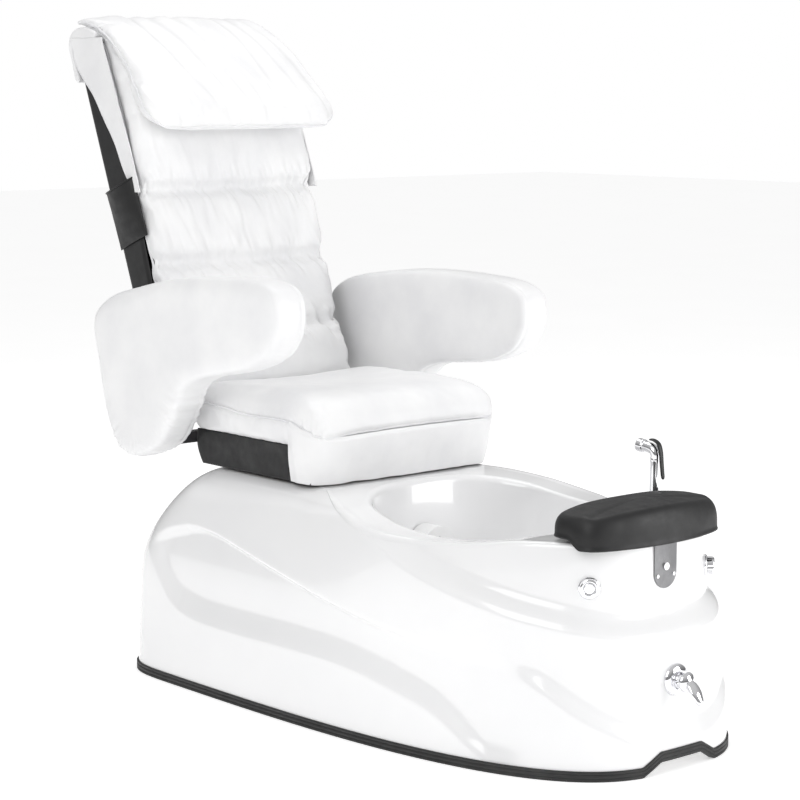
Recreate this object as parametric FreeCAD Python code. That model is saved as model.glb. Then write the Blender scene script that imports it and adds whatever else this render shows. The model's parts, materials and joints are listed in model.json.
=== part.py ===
import FreeCAD, Part
import math
import os

# Pedicure spa chair: a reclining massage seat that slides on a moulded foot-spa base.
# Millimetres, +Z up. The front of the chair looks along -Y and the sitter's right is -X.
# Everything is modelled with the floor at z = 0 and the mirror plane at x = 0.
# At the end all pieces move along Y, so that the origin is under the middle of the whole chair.

V = FreeCAD.Vector
Y_AXIS = V(0, 1, 0)
Z_AXIS = V(0, 0, 1)

# ---- driving dimensions: base -------------------------------------------------------------
BASE_HALF_WIDTH = 368.0
BASE_WIDEST_Y = 450.0          # where the footprint is widest
BASE_FRONT_REACH = 1115.0      # from the widest place to the toe
BASE_REAR_REACH = 250.0        # from the widest place to the heel
FRONT_POWER = 3.0              # superellipse powers of the footprint
REAR_POWER = 4.5
DECK_Z = 458.0                 # flat deck under the seat
SHOULDER_Z = 228.0             # where the wall starts to round over into the deck
SHELL_WALL = 6.0
SHELL_BOTTOM_Z = 3.0
RIM_LOW_Z = 414.0              # lowest place of the basin rim
RIM_FRONT_Z = 436.0            # rim under the footrest

# The three moulded waves of the skirt: (distance along the footprint from the toe, height).
LEDGE_LINE = [(0, 276), (120, 281), (210, 294), (380, 323), (570, 370), (690, 414), (800, 450),
              (1000, 520), (1852, 560)]
MIDDLE_LINE = [(0, 72), (105, 80), (205, 126), (305, 186), (385, 209), (490, 220), (610, 230),
               (830, 266), (1090, 317), (1200, 337), (1275, 341), (1395, 322), (1450, 300),
               (1852, 300)]
LOWER_LINE = [(0, -80), (340, -60), (430, 43), (520, 110), (610, 140), (715, 162), (830, 173),
              (1190, 174), (1280, 182), (1335, 202), (1380, 242), (1450, 300), (1852, 300)]
CHANNEL_DEPTH = [(0, 0), (290, 0), (365, 8), (430, 13), (600, 15), (1380, 15), (1470, 0),
                 (1852, 0)]
PANEL_DEPTH = [(0, 16), (290, 12), (365, 8), (600, 4), (900, 0), (1852, 0)]
LEDGE_DEPTH = 28.0

# ---- driving dimensions: foot basin ---------------------------------------------------------
BASIN_Y = -185.0
BASIN_HALF_WIDTH = 238.0
BASIN_HALF_LENGTH = 275.0
BASIN_FLOOR_Z = 216.0
BASIN_WALL = 5.0
BASIN_TAPER = 0.78             # floor outline over rim outline
BASIN_POWER = 2.7              # superellipse power of the basin outline
DRAIN_Y = -250.0

# ---- driving dimensions: seat ----------------------------------------------------------------
SEAT_HALF_WIDTH = 252.0
SKIRT_INNER_X = 236.0
RAIL_X = 165.0
RAIL_TOP_Z = 480.0
SEAT_PAN_Z = 530.0
SEAT_PAN_THICK = 15.0
TUBE_TALL = 18.0               # height of the seat's cross tubes
SKIRT_BOTTOM_Z = 461.0
SEAT_TRAVEL = 100.0

# ---- driving dimensions: backrest --------------------------------------------------------------
PIVOT_Y = 596.0                # recline axis
PIVOT_Z = 560.0
PIVOT_R = 8.0
BACK_HALF_WIDTH = 242.0
SHELL_HALF_WIDTH = 246.0
SHELL_LEAN = math.atan2(1003.0 - 705.0, 1365.0 - 600.0)
LEVER_LENGTH = 65.0
LEVER_BACKSET = math.radians(17.5)
LEVER_X = 60.0

# ---- driving dimensions: armrests ---------------------------------------------------------------
ARM_INNER_X = 285.0
ARM_OUTER_X = 370.0
ARM_PIVOT_Y = 606.0
ARM_PIVOT_Z = 545.0
RIGHT_ARM_RAISED = 4.5         # degrees that the right armrest stands above the left one

# ---- driving dimensions: fittings ---------------------------------------------------------------
SWITCH_X = 159.0
SWITCH_Z = 356.0
VALVE_Z = 170.0
SPRAYER_X = 128.0
SPRAYER_Y = -467.0
JET_Z = 318.0
RUNNING_GAP = 0.05             # radial clearance of a shaft in its hole

parts = {}


# ---- small helpers -------------------------------------------------------------------------------
def cylinder(radius, length, start, direction=Z_AXIS):
    return Part.makeCylinder(radius, length, start, direction)


def tube(outer, inner, length, start, direction=Z_AXIS):
    return cylinder(outer, length, start, direction).cut(cylinder(inner, length, start, direction))


def box(low, high):
    return Part.makeBox(high[0] - low[0], high[1] - low[1], high[2] - low[2], V(*low))


def side_prism(points, low_x, high_x):
    """Straight-sided outline in the YZ plane, given as (y, z), extruded along X."""
    corners = [V(low_x, y, z) for y, z in points]
    return Part.Face(Part.makePolygon(corners + corners[:1])).extrude(V(high_x - low_x, 0, 0))


def closed_curve(points):
    """Smooth closed curve with evenly spaced knots, so that lofts between such curves stay light."""
    curve = Part.BSplineCurve()
    knots = [index / len(points) for index in range(len(points) + 1)]
    curve.interpolate(points, PeriodicFlag=True, Parameters=knots)
    return Part.Wire(curve.toShape())


def smooth_prism(points, low_x, high_x):
    """Smooth closed outline in the YZ plane, given as (y, z), extruded along X."""
    curve = Part.BSplineCurve()
    curve.interpolate([V(low_x, y, z) for y, z in points], PeriodicFlag=True)
    return Part.Face(Part.Wire(curve.toShape())).extrude(V(high_x - low_x, 0, 0))


def rounded_prism(points, low_x, high_x, radius):
    """Smooth closed outline in the YZ plane, extruded along X with both outlines rounded over."""
    solid = smooth_prism(points, low_x, high_x)
    rims = [edge for edge in solid.Edges if edge.BoundBox.XLength < 0.01]
    return solid.makeFillet(radius, rims)


def both_sides(solid):
    """The piece and its mirror image, as one group of two solids."""
    return Part.makeCompound([solid, solid.mirror(V(0, 0, 0), V(1, 0, 0))])


def fuse(first, *others):
    return first.fuse(list(others)).removeSplitter()


def blend(edge_low, edge_high, value):
    """Smooth step from 0 at edge_low to 1 at edge_high."""
    share = min(1.0, max(0.0, (value - edge_low) / (edge_high - edge_low)))
    return share * share * (3.0 - 2.0 * share)


def along(line, station):
    """Height or depth of a wave line at a station, with a smooth curve through its points."""
    last = len(line) - 1
    index = 0
    while index < last - 1 and station > line[index + 1][0]:
        index += 1
    (left, low), (right, high) = line[index], line[index + 1]
    before = line[max(index - 1, 0)]
    after = line[min(index + 2, last)]
    width = right - left
    slope_in = (high - before[1]) / (right - before[0]) * width
    slope_out = (after[1] - low) / (after[0] - left) * width
    share = min(1.0, max(0.0, (station - left) / width))
    square = share * share
    cube = square * share
    return ((2 * cube - 3 * square + 1) * low + (cube - 2 * square + share) * slope_in
            + (3 * square - 2 * cube) * high + (cube - square) * slope_out)


# ---- the outer skin of the base --------------------------------------------------------------------
def footprint_turn(turn, half_width, front, rear, rear_power):
    """Point of the footprint: turn 0 is the toe, 1 the heel, on the +X side."""
    if turn <= 0.5:
        angle = turn * math.pi
        power = 2.0 / FRONT_POWER
        return half_width * math.sin(angle) ** power, BASE_WIDEST_Y - front * math.cos(angle) ** power
    angle = (1.0 - turn) * math.pi
    power = 2.0 / rear_power
    return half_width * math.sin(angle) ** power, BASE_WIDEST_Y + rear * math.cos(angle) ** power


def footprint_stations(steps=2000):
    """Distance along the footprint from the toe, for evenly spaced turns."""
    stations = [0.0]
    last = footprint_turn(0.0, BASE_HALF_WIDTH, BASE_FRONT_REACH, BASE_REAR_REACH, REAR_POWER)
    for step in range(1, steps + 1):
        here = footprint_turn(step / steps, BASE_HALF_WIDTH, BASE_FRONT_REACH, BASE_REAR_REACH,
                              REAR_POWER)
        stations.append(stations[-1] + math.hypot(here[0] - last[0], here[1] - last[1]))
        last = here
    return stations


STATIONS = footprint_stations()
HALF_GIRTH = STATIONS[-1]


def turn_at(station):
    low, high = 0, len(STATIONS) - 1
    while high - low > 1:
        middle = (low + high) // 2
        if STATIONS[middle] <= station:
            low = middle
        else:
            high = middle
    share = (station - STATIONS[low]) / (STATIONS[high] - STATIONS[low])
    return (low + share) / (len(STATIONS) - 1)


def wave_depth(station, z):
    """How far the waves set the wall back from the plain tapered wall."""
    channel = along(CHANNEL_DEPTH, station)
    panel = along(PANEL_DEPTH, station)
    lower = along(LOWER_LINE, station)
    middle = along(MIDDLE_LINE, station)
    ledge = along(LEDGE_LINE, station)
    depth = channel * blend(lower - 30, lower + 30, z)
    depth += (panel - channel) * blend(middle - 26, middle + 26, z)
    depth += LEDGE_DEPTH * blend(ledge - 27, ledge + 27, z)
    return depth * blend(8, 60, z)


def skin_point(station, z, wall=0.0):
    """Point of the base's skin on the +X side; a wall thickness moves it inwards and down."""
    level = min(z + wall, DECK_Z)
    rise = max(0.0, (level - SHOULDER_Z) / (DECK_Z - SHOULDER_Z))
    dome = 1.0 - math.sqrt(max(0.0, 1.0 - rise * rise))
    turn = turn_at(station)
    plain_y = footprint_turn(turn, BASE_HALF_WIDTH, BASE_FRONT_REACH, BASE_REAR_REACH, REAR_POWER)[1]
    behind = 0.25 + 0.75 * blend(-250, 150, plain_y)
    taper = 16.0 * level / DECK_Z
    half_width = BASE_HALF_WIDTH - (taper + 140.0 * dome) * behind
    front = BASE_FRONT_REACH - 0.5 * taper
    rear = BASE_REAR_REACH - taper - 212.0 * dome
    rear_power = REAR_POWER - 1.5 * blend(200, 420, level)
    x, y = footprint_turn(turn, half_width, front, rear, rear_power)
    near = footprint_turn(max(turn - 0.002, 0.0), half_width, front, rear, rear_power)
    far = footprint_turn(min(turn + 0.002, 1.0), half_width, front, rear, rear_power)
    run_x, run_y = far[0] - near[0], far[1] - near[1]
    if turn < 0.004 or turn > 0.996:
        run_x, run_y = (1.0, 0.0) if turn < 0.5 else (-1.0, 0.0)
    length = math.hypot(run_x, run_y)
    depth = wave_depth(station, z) + wall
    return V(max(x - run_y / length * depth, 0.0), y + run_x / length * depth, z)


def skin_section(z, wall=0.0, points=60):
    """Closed smooth outline of the base at one height."""
    side = [skin_point(HALF_GIRTH * index / points, z, wall) for index in range(points + 1)]
    other = [V(-point.x, point.y, point.z) for point in reversed(side[1:-1])]
    return closed_curve(side + other)


def base_body(wall=0.0, bottom=SHELL_BOTTOM_Z):
    heights = [bottom + 14.0 * step for step in range(29)]
    heights += [405, 415, 425, 434, 442, 449, 454, 457]
    heights = [z for z in heights if z <= DECK_Z - wall - 0.5] + [DECK_Z - wall]
    return Part.makeLoft([skin_section(z, wall) for z in heights], True, False)


def above_rim(drop=0.0):
    """Everything above the rim line, which dips at the basin and rises again to the footrest."""
    top = DECK_Z + 60
    rim = [(135, DECK_Z + 1 - drop), (135, DECK_Z - drop), (0, 441 - drop), (-110, 422 - drop),
           (-230, RIM_LOW_Z - drop), (-340, 419 - drop), (-470, RIM_FRONT_Z - drop)]
    curve = Part.BSplineCurve()
    curve.interpolate([V(-500, y, z) for y, z in rim[1:]],
                      InitialTangent=V(0, -1, 0), FinalTangent=V(0, -1, 0))
    end = V(-500, -760, RIM_FRONT_Z - drop)
    edges = [curve.toShape(), Part.makeLine(V(-500, -470, RIM_FRONT_Z - drop), end),
             Part.makeLine(end, V(-500, -760, top)), Part.makeLine(V(-500, -760, top), V(-500, 135, top)),
             Part.makeLine(V(-500, 135, top), V(-500, 135, DECK_Z - drop))]
    return Part.Face(Part.Wire(edges)).extrude(V(1000, 0, 0))


def toe_notch():
    """Arched toe space at the front of the skirt."""
    outline = [(-96, 0), (-56, 24), (56, 24), (96, 0)]
    corners = [V(x, -760, z) for x, z in outline]
    return Part.Face(Part.makePolygon(corners + corners[:1])).extrude(V(0, 200, 0))


def basin_solid(inset, floor_z, top_z):
    """Tapered bowl body between two heights."""
    wires = []
    power = 2.0 / BASIN_POWER
    for height_share, width_share in ((0.0, 0.0), (0.08, 0.22), (0.35, 0.62), (1.0, 1.0)):
        z = floor_z + (top_z - floor_z) * height_share
        scale = BASIN_TAPER + (1.0 - BASIN_TAPER) * width_share
        points = []
        for index in range(32):
            angle = 2 * math.pi * index / 32
            cos, sin = math.cos(angle), math.sin(angle)
            x = math.copysign(abs(cos) ** power, cos) * (BASIN_HALF_WIDTH * scale - inset)
            y = math.copysign(abs(sin) ** power, sin) * (BASIN_HALF_LENGTH * scale - inset)
            points.append(V(x, BASIN_Y + y, z))
        wires.append(closed_curve(points))
    return Part.makeLoft(wires, True, False)


def skin_frame(x, z):
    """Point and outward direction of the front wall at a given x and height."""
    low, high = 0.0, 600.0
    for _ in range(40):
        middle = (low + high) / 2
        if skin_point(middle, z).x < abs(x):
            low = middle
        else:
            high = middle
    point = skin_point(low, z)
    before = skin_point(max(low - 6, 0), z)
    after = skin_point(low + 6, z)
    run = after - before
    run.normalize()
    normal = V(run.y, -run.x, 0)
    side = 1.0 if x >= 0 else -1.0
    return V(side * point.x, point.y, z), V(side * normal.x, normal.y, 0)


def rear_face_y(x, z):
    """Where the heel of the base stands at a given x and height."""
    low, high = HALF_GIRTH - 300, HALF_GIRTH
    for _ in range(40):
        middle = (low + high) / 2
        if skin_point(middle, z).x > abs(x):
            low = middle
        else:
            high = middle
    return skin_point(high, z).y


# ---- base pieces ------------------------------------------------------------------------------------
SWITCH_POINT, SWITCH_OUT = skin_frame(-SWITCH_X, SWITCH_Z)
KNOB_POINT, KNOB_OUT = skin_frame(SWITCH_X, SWITCH_Z)
VALVE_POINT = skin_frame(0.0, VALVE_Z)[0]
FRONT_WALL_Y = skin_frame(0.0, 383.0)[0].y
PANEL_LOW_Z, PANEL_HIGH_Z, PANEL_HALF = 70.0, 190.0, 110.0


def make_base():
    outer = base_body().cut(above_rim())
    hollow = base_body(SHELL_WALL, bottom=0.0).cut(above_rim(SHELL_WALL))
    basin_outer = basin_solid(0.0, BASIN_FLOOR_Z - BASIN_WALL, DECK_Z + 4)
    basin_inner = basin_solid(BASIN_WALL, BASIN_FLOOR_Z, DECK_Z + 4)
    shell = outer.cut(hollow).cut(basin_outer).cut(toe_notch())
    holes = [cylinder(13.0, 60, SWITCH_POINT - SWITCH_OUT * 40, SWITCH_OUT),
             cylinder(13.0, 60, KNOB_POINT - KNOB_OUT * 40, KNOB_OUT),
             cylinder(24.0, 60, VALVE_POINT + Y_AXIS * 40, V(0, -1, 0)),
             cylinder(12.0, 40, V(SPRAYER_X, SPRAYER_Y, 410)),
             box((-PANEL_HALF, 640, PANEL_LOW_Z), (PANEL_HALF, 760, PANEL_HIGH_Z))]
    parts["base_shell"] = shell.cut(holes)
    drain_hole = cylinder(24.0, 30, V(0, DRAIN_Y, BASIN_FLOOR_Z - 20))
    jet_hole = cylinder(36.0, 90, V(0, 20, JET_Z), Y_AXIS)
    parts["foot_basin"] = basin_outer.cut(basin_inner).cut(above_rim()).cut([drain_hole, jet_hole])

    strip_out, strip_in, strip_foot = (Part.Face(skin_section(10.0, wall)) for wall in (-3.5, 0.0, 10.0))
    upright = strip_out.cut(strip_in).extrude(V(0, 0, 57))
    upright.translate(V(0, 0, SHELL_BOTTOM_Z - 10))
    lip = strip_out.cut(strip_foot).extrude(V(0, 0, SHELL_BOTTOM_Z))
    lip.translate(V(0, 0, -10))
    lower_band = box((-500, -800, -1), (500, 800, 20))
    arch = [(-120, -1), (-98, -1), (-56, 24), (56, 24), (98, -1), (120, -1), (120, 20), (102, 20),
            (62, 44), (-62, 44), (-102, 20), (-120, 20)]
    corners = [V(x, -760, z) for x, z in arch]
    arch_band = Part.Face(Part.makePolygon(corners + corners[:1])).extrude(V(0, 200, 0))
    band = lower_band.cut(box((-119, -800, -2), (119, -560, 21))).fuse(arch_band)
    parts["floor_trim"] = upright.fuse(lip).common(band)

    panel = outer.common(box((-PANEL_HALF + 1, 600, PANEL_LOW_Z + 1),
                             (PANEL_HALF - 1, 760, PANEL_HIGH_Z - 1)))
    panel = panel.cut(hollow)
    screws = []
    for x in (-95, 95):
        for z in (85, 175):
            panel = panel.cut(cylinder(2.6, 60, V(x, 660, z), Y_AXIS))
            face_y = rear_face_y(x, z) + 0.6
            shank = cylinder(2.5, 12, V(x, face_y - 12, z), Y_AXIS)
            screws.append(fuse(shank, cylinder(4.5, 2.5, V(x, face_y, z), Y_AXIS)))
    parts["rear_access_panel"] = panel
    parts["panel_screws"] = Part.makeCompound(screws)
    return outer, basin_inner


def make_support():
    """Steel posts that carry the seat through the deck down to the floor."""
    posts = []
    feet = []
    for x in (-RAIL_X, RAIL_X):
        for y in (200, 440):
            posts.append(tube(20, 17, 422, V(x, y, 24)))
            feet.append(fuse(cylinder(26, 12, V(x, y, 0)), cylinder(16.5, 30, V(x, y, 10)),
                             cylinder(24, 12, V(x, y, 12))))
    parts["support_posts"] = Part.makeCompound(posts)
    parts["leveling_feet"] = Part.makeCompound(feet)
    parts["seat_mount_plate"] = box((-195, 160, 446), (195, 480, DECK_Z - SHELL_WALL))


def make_rails(outer):
    """Fixed channels on the deck and the bars that slide in them."""
    channel = box((RAIL_X - 18, 165, DECK_Z), (RAIL_X + 18, 465, RAIL_TOP_Z))
    channel = channel.cut(box((RAIL_X - 14, 160, DECK_Z + 4), (RAIL_X + 14, 470, RAIL_TOP_Z + 1)))
    channel = channel.cut(outer)
    parts["fixed_seat_rails"] = both_sides(channel)
    bar = box((RAIL_X - 13.7, 165, DECK_Z + 4.3), (RAIL_X + 13.7, 465, 486))
    parts["sliding_seat_rails"] = both_sides(bar)

    actuator = tube(18, 10 + RUNNING_GAP, 210, V(-60, 250, 482), Y_AXIS)
    foot = box((-72, 300, DECK_Z), (-48, 420, 470)).cut(cylinder(18, 400, V(-60, 200, 482), Y_AXIS))
    parts["slide_actuator_body"] = fuse(actuator, foot)
    rod = cylinder(10, 200, V(-60, 215, 482), Y_AXIS)
    lug = box((-72, 195, 472), (-48, 217, 500))
    parts["slide_actuator_rod"] = fuse(rod, lug)


# ---- seat --------------------------------------------------------------------------------------------
def make_seat():
    plate = box((RAIL_X - 13, 175, 486), (RAIL_X + 13, 565, SEAT_PAN_Z - TUBE_TALL))
    ear = side_prism([(520, 486), (560, 486), (PIVOT_Y + 16, PIVOT_Z - 14), (PIVOT_Y + 16, PIVOT_Z + 12),
                      (PIVOT_Y - 14, PIVOT_Z + 12), (PIVOT_Y - 40, SEAT_PAN_Z - TUBE_TALL),
                      (520, SEAT_PAN_Z - TUBE_TALL)], RAIL_X - 3, RAIL_X + 5)
    pivot_hole = cylinder(PIVOT_R + RUNNING_GAP, 60, V(RAIL_X - 30, PIVOT_Y, PIVOT_Z), V(1, 0, 0))
    side = fuse(plate, ear).cut(pivot_hole)
    parts["seat_side_plates"] = both_sides(side)
    tubes = []
    for y in (185, 470):
        bar = box((-235, y - 12, SEAT_PAN_Z - TUBE_TALL), (235, y + 12, SEAT_PAN_Z))
        bore = box((-236, y - 9.5, SEAT_PAN_Z - TUBE_TALL + 2.5), (236, y + 9.5, SEAT_PAN_Z - 2.5))
        tubes.append(bar.cut(bore))
    parts["seat_cross_tubes"] = Part.makeCompound(tubes)
    pan = box((-235, 130, SEAT_PAN_Z), (235, 545, SEAT_PAN_Z + SEAT_PAN_THICK))
    parts["seat_pan"] = pan.makeFillet(20, [edge for edge in pan.Edges if edge.BoundBox.ZLength > 10])

    top = SEAT_PAN_Z + SEAT_PAN_THICK
    under = SEAT_PAN_Z + 0.5
    cushion = rounded_prism([(140, under + 3), (114, under + 12), (104, under + 34), (112, under + 72),
                            (146, under + 98), (230, under + 110), (350, under + 114), (470, under + 110),
                            (545, under + 96), (566, under + 64), (562, under + 20), (545, under + 2),
                            (440, under + 1), (340, under + 1), (240, under + 1)],
                           -SEAT_HALF_WIDTH, SEAT_HALF_WIDTH, 14)
    below_pan = box((-300, 130, SEAT_PAN_Z - 30), (300, 545, SEAT_PAN_Z))
    parts["seat_cushion"] = cushion.cut([parts["seat_pan"], below_pan])

    skirt = side_prism([(150, SKIRT_BOTTOM_Z), (528, SKIRT_BOTTOM_Z), (552, 500), (546, SEAT_PAN_Z),
                        (150, SEAT_PAN_Z)], SKIRT_INNER_X, SKIRT_INNER_X + 5)
    parts["side_skirts"] = both_sides(skirt)

    front = [(127, SKIRT_BOTTOM_Z), (98, top + 20), (196, top + 30), (196, SKIRT_BOTTOM_Z)]
    behind = [(136, SKIRT_BOTTOM_Z - 1), (107, top + 40), (400, top + 40), (400, SKIRT_BOTTOM_Z - 1)]
    apron = side_prism(front, -SEAT_HALF_WIDTH - 6, SEAT_HALF_WIDTH + 6)
    apron = apron.cut(side_prism(behind, -SEAT_HALF_WIDTH, SEAT_HALF_WIDTH))
    parts["seat_apron"] = max(apron.cut(parts["seat_cushion"]).Solids, key=lambda solid: solid.Volume)


def make_armrests():
    top_line = [(120, 853), (250, 866), (400, 868), (550, 856), (690, 828)]
    rear_line = [(748, 786), (742, 680), (718, 560), (680, 492)]
    lobe = [(600, 474), (515, 505), (450, 572), (415, 622), (360, 646)]
    under = [(270, 658), (170, 676), (100, 712)]
    front = [(68, 768), (74, 826)]
    outline = top_line + rear_line + lobe + under + front
    pad = rounded_prism(outline, ARM_INNER_X, ARM_OUTER_X, 24)
    core_outline = [(150, 770), (130, 790), (150, 812), (400, 825), (640, 800), (690, 740), (660, 600),
                    (606, 520), (540, 560), (480, 660), (420, 710), (250, 730)]
    middle = (ARM_INNER_X + ARM_OUTER_X) / 2
    core = smooth_prism(core_outline, middle - 9, middle + 9)
    pin_hole = cylinder(9 + RUNNING_GAP, 60, V(ARM_INNER_X - 10, ARM_PIVOT_Y, ARM_PIVOT_Z), V(1, 0, 0))
    boss = cylinder(18, middle - 9 - ARM_INNER_X, V(ARM_INNER_X, ARM_PIVOT_Y, ARM_PIVOT_Z), V(1, 0, 0))
    core = fuse(core, boss).cut(pin_hole)
    pocket = fuse(smooth_prism(core_outline, middle - 9, middle + 9), boss)
    pad = pad.cut([pocket, pin_hole])
    bracket = box((RAIL_X + 5, 576, 500), (ARM_INNER_X - 12, 600, 524))
    upright = side_prism([(576, 500), (ARM_PIVOT_Y + 18, 500), (ARM_PIVOT_Y + 18, ARM_PIVOT_Z + 16),
                          (ARM_PIVOT_Y - 18, ARM_PIVOT_Z + 16), (576, 524)],
                         ARM_INNER_X - 18, ARM_INNER_X - 12)
    pin = cylinder(9, 48, V(ARM_INNER_X - 18, ARM_PIVOT_Y, ARM_PIVOT_Z), V(1, 0, 0))
    parts["armrest_brackets"] = both_sides(fuse(bracket, upright, pin))
    parts["left_armrest_pad"] = pad
    parts["left_armrest_core"] = core
    pivot = V(0, ARM_PIVOT_Y, ARM_PIVOT_Z)
    for name, piece in (("right_armrest_pad", pad), ("right_armrest_core", core)):
        other = piece.mirror(V(0, 0, 0), V(1, 0, 0))
        other.rotate(pivot, V(-1, 0, 0), RIGHT_ARM_RAISED)
        parts[name] = other


# ---- backrest --------------------------------------------------------------------------------------------
SHELL_REAR_LOW = V(0, 705, 600)
BACK_UP = V(0, math.sin(SHELL_LEAN), math.cos(SHELL_LEAN))
BACK_FORWARD = V(0, -math.cos(SHELL_LEAN), math.sin(SHELL_LEAN))


def on_back(up, forward, x=0.0):
    """Point measured up the rear face of the back shell and forward of it."""
    return SHELL_REAR_LOW + BACK_UP * up + BACK_FORWARD * forward + V(x, 0, 0)


def back_box(x_low, x_high, up_low, up_high, forward_low, forward_high):
    corners = [on_back(up_low, forward_low, x_low), on_back(up_high, forward_low, x_low),
               on_back(up_high, forward_high, x_low), on_back(up_low, forward_high, x_low)]
    return Part.Face(Part.makePolygon(corners + corners[:1])).extrude(V(x_high - x_low, 0, 0))


def make_back():
    front_line = [(626, 602), (768, 1054), (905, 1375)]
    outer = side_prism(front_line + [(1003, 1365), (705, 600)], -SHELL_HALF_WIDTH, SHELL_HALF_WIDTH)
    rear_edges = [edge for edge in outer.Edges
                  if edge.BoundBox.XLength < 0.01 and edge.BoundBox.YMin > 700]
    outer = outer.makeFillet(18, rear_edges)
    inner_low, inner_high = on_back(9, 5), on_back(809, 5)
    inner = side_prism([(600, 608), (752, 1058), (893, 1369), (inner_high.y, inner_high.z),
                        (inner_low.y, inner_low.z)], -SHELL_HALF_WIDTH + 5, SHELL_HALF_WIDTH - 5)
    lever_slot = box((LEVER_X - 16, 600, 590), (LEVER_X + 16, 712, 612))
    tube_slots = [box((side * 196 - 28, 600, 590), (side * 196 + 28, 712, 612)) for side in (-1, 1)]
    parts["back_shell"] = outer.cut([inner, lever_slot] + tube_slots)

    pad = rounded_prism([(627, 610), (600, 606), (588, 622), (606, 700), (640, 790), (680, 890),
                        (714, 1010), (738, 1120), (776, 1230), (846, 1345), (905, 1402), (960, 1416),
                        (1000, 1396), (998, 1374), (950, 1377), (912, 1377), (874, 1300), (769, 1054.5),
                        (690, 804)],
                       -BACK_HALF_WIDTH, BACK_HALF_WIDTH, 10)
    pad = pad.cut(side_prism(front_line + [(1003, 1365), (1003, 1374), (1100, 1374), (1100, 500),
                                           (600, 500)], -300, 300))
    parts["back_pad"] = pad

    pillow = smooth_prism([(662, 1172), (648, 1186), (662, 1222), (730, 1288), (830, 1372),
                           (920, 1424), (985, 1434), (1012, 1412), (1008, 1396), (985, 1412),
                           (940, 1412), (890, 1390), (836, 1333), (768, 1222), (744, 1172),
                           (706, 1168)], -BACK_HALF_WIDTH - 16, BACK_HALF_WIDTH + 16)
    parts["head_pillow"] = pillow.cut(pad)

    tubes = []
    bars = []
    for side in (-1, 1):
        start = on_back(-10, 30, side * 205)
        tubes.append(tube(12.5, 10.5, 700, start, BACK_UP))
    for up in (40, 650):
        bars.append(cylinder(10, 2 * (205 - 12.4), on_back(up, 30, -205 + 12.4), V(1, 0, 0)))
    parts["back_frame_tubes"] = Part.makeCompound(tubes)
    parts["back_cross_bars"] = Part.makeCompound(bars)

    arm_x = RAIL_X + 5.5
    arm = side_prism([(PIVOT_Y - 14, PIVOT_Z + 12), (PIVOT_Y - 6, PIVOT_Z - 16), (PIVOT_Y + 14, PIVOT_Z - 16),
                      (712, 596), (712, 640), (690, 640)], arm_x, arm_x + 6)
    pin = cylinder(PIVOT_R, 22, V(arm_x - 10.5, PIVOT_Y, PIVOT_Z), V(1, 0, 0))
    spacer = box((arm_x + 2, 650, 604), (205, 700, 640))
    parts["recline_arms"] = both_sides(fuse(arm, pin, spacer).cut([tubes[1]] + bars))
    parts["back_shell"] = parts["back_shell"].cut(parts["recline_arms"].Solids)


def make_recline():
    """Lever under the back's lowest bar, and the actuator that pushes it."""
    eye_y = PIVOT_Y + LEVER_LENGTH * math.sin(LEVER_BACKSET)
    eye_z = PIVOT_Z - LEVER_LENGTH * math.cos(LEVER_BACKSET)
    bar = on_back(40, 30)
    lever = side_prism([(eye_y - 12, eye_z - 12), (eye_y + 12, eye_z - 12), (bar.y + 14, bar.z - 6),
                        (bar.y, bar.z + 14), (bar.y - 16, bar.z), (eye_y + 2, eye_z + 34),
                        (eye_y - 12, eye_z + 12)], LEVER_X - 5, LEVER_X + 5)
    lever = lever.cut(cylinder(10, 40, V(LEVER_X - 20, bar.y, bar.z), V(1, 0, 0)))
    pin = cylinder(5, 34, V(LEVER_X - 17, eye_y, eye_z), V(1, 0, 0))
    parts["recline_lever"] = fuse(lever, pin)

    body = tube(18, 10 + RUNNING_GAP, 200, V(LEVER_X, 250, eye_z), Y_AXIS)
    cap = cylinder(18, 14, V(LEVER_X, 236, eye_z), Y_AXIS)
    motor = cylinder(22, 110, V(LEVER_X + 46, 300, eye_z), Y_AXIS)
    gearbox = box((LEVER_X - 14, 236, eye_z - 18), (LEVER_X + 66, 300, eye_z + 18))
    gearbox = gearbox.cut(cylinder(18, 400, V(LEVER_X, 200, eye_z), Y_AXIS))
    hanger = box((LEVER_X - 10, 236, eye_z + 16), (LEVER_X + 10, 262, SEAT_PAN_Z))
    hanger = hanger.cut(cylinder(18, 100, V(LEVER_X, 200, eye_z), Y_AXIS))
    parts["recline_actuator"] = fuse(body, cap, motor, gearbox, hanger)
    rod = cylinder(10, eye_y - 24 - 300, V(LEVER_X, 300, eye_z), Y_AXIS)
    fork = box((LEVER_X - 14, eye_y - 30, eye_z - 12), (LEVER_X + 14, eye_y + 13, eye_z + 12))
    fork = fork.cut([box((LEVER_X - 6.5, eye_y - 20, eye_z - 20), (LEVER_X + 6.5, eye_y + 20, eye_z + 20)),
                     box((LEVER_X - 20, eye_y - 6.5, eye_z - 9), (LEVER_X + 20, eye_y + 6.5, eye_z + 9))])
    parts["recline_rod"] = fuse(rod, fork)


MASSAGE_LOW = 215.0             # carriage's lower edge, measured up the shell's rear face
MASSAGE_TRAVEL = 280.0
ROLLERS = {"left_upper": (70, 82), "left_lower": (70, -22), "right_upper": (-70, 82),
           "right_lower": (-70, -22)}


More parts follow.
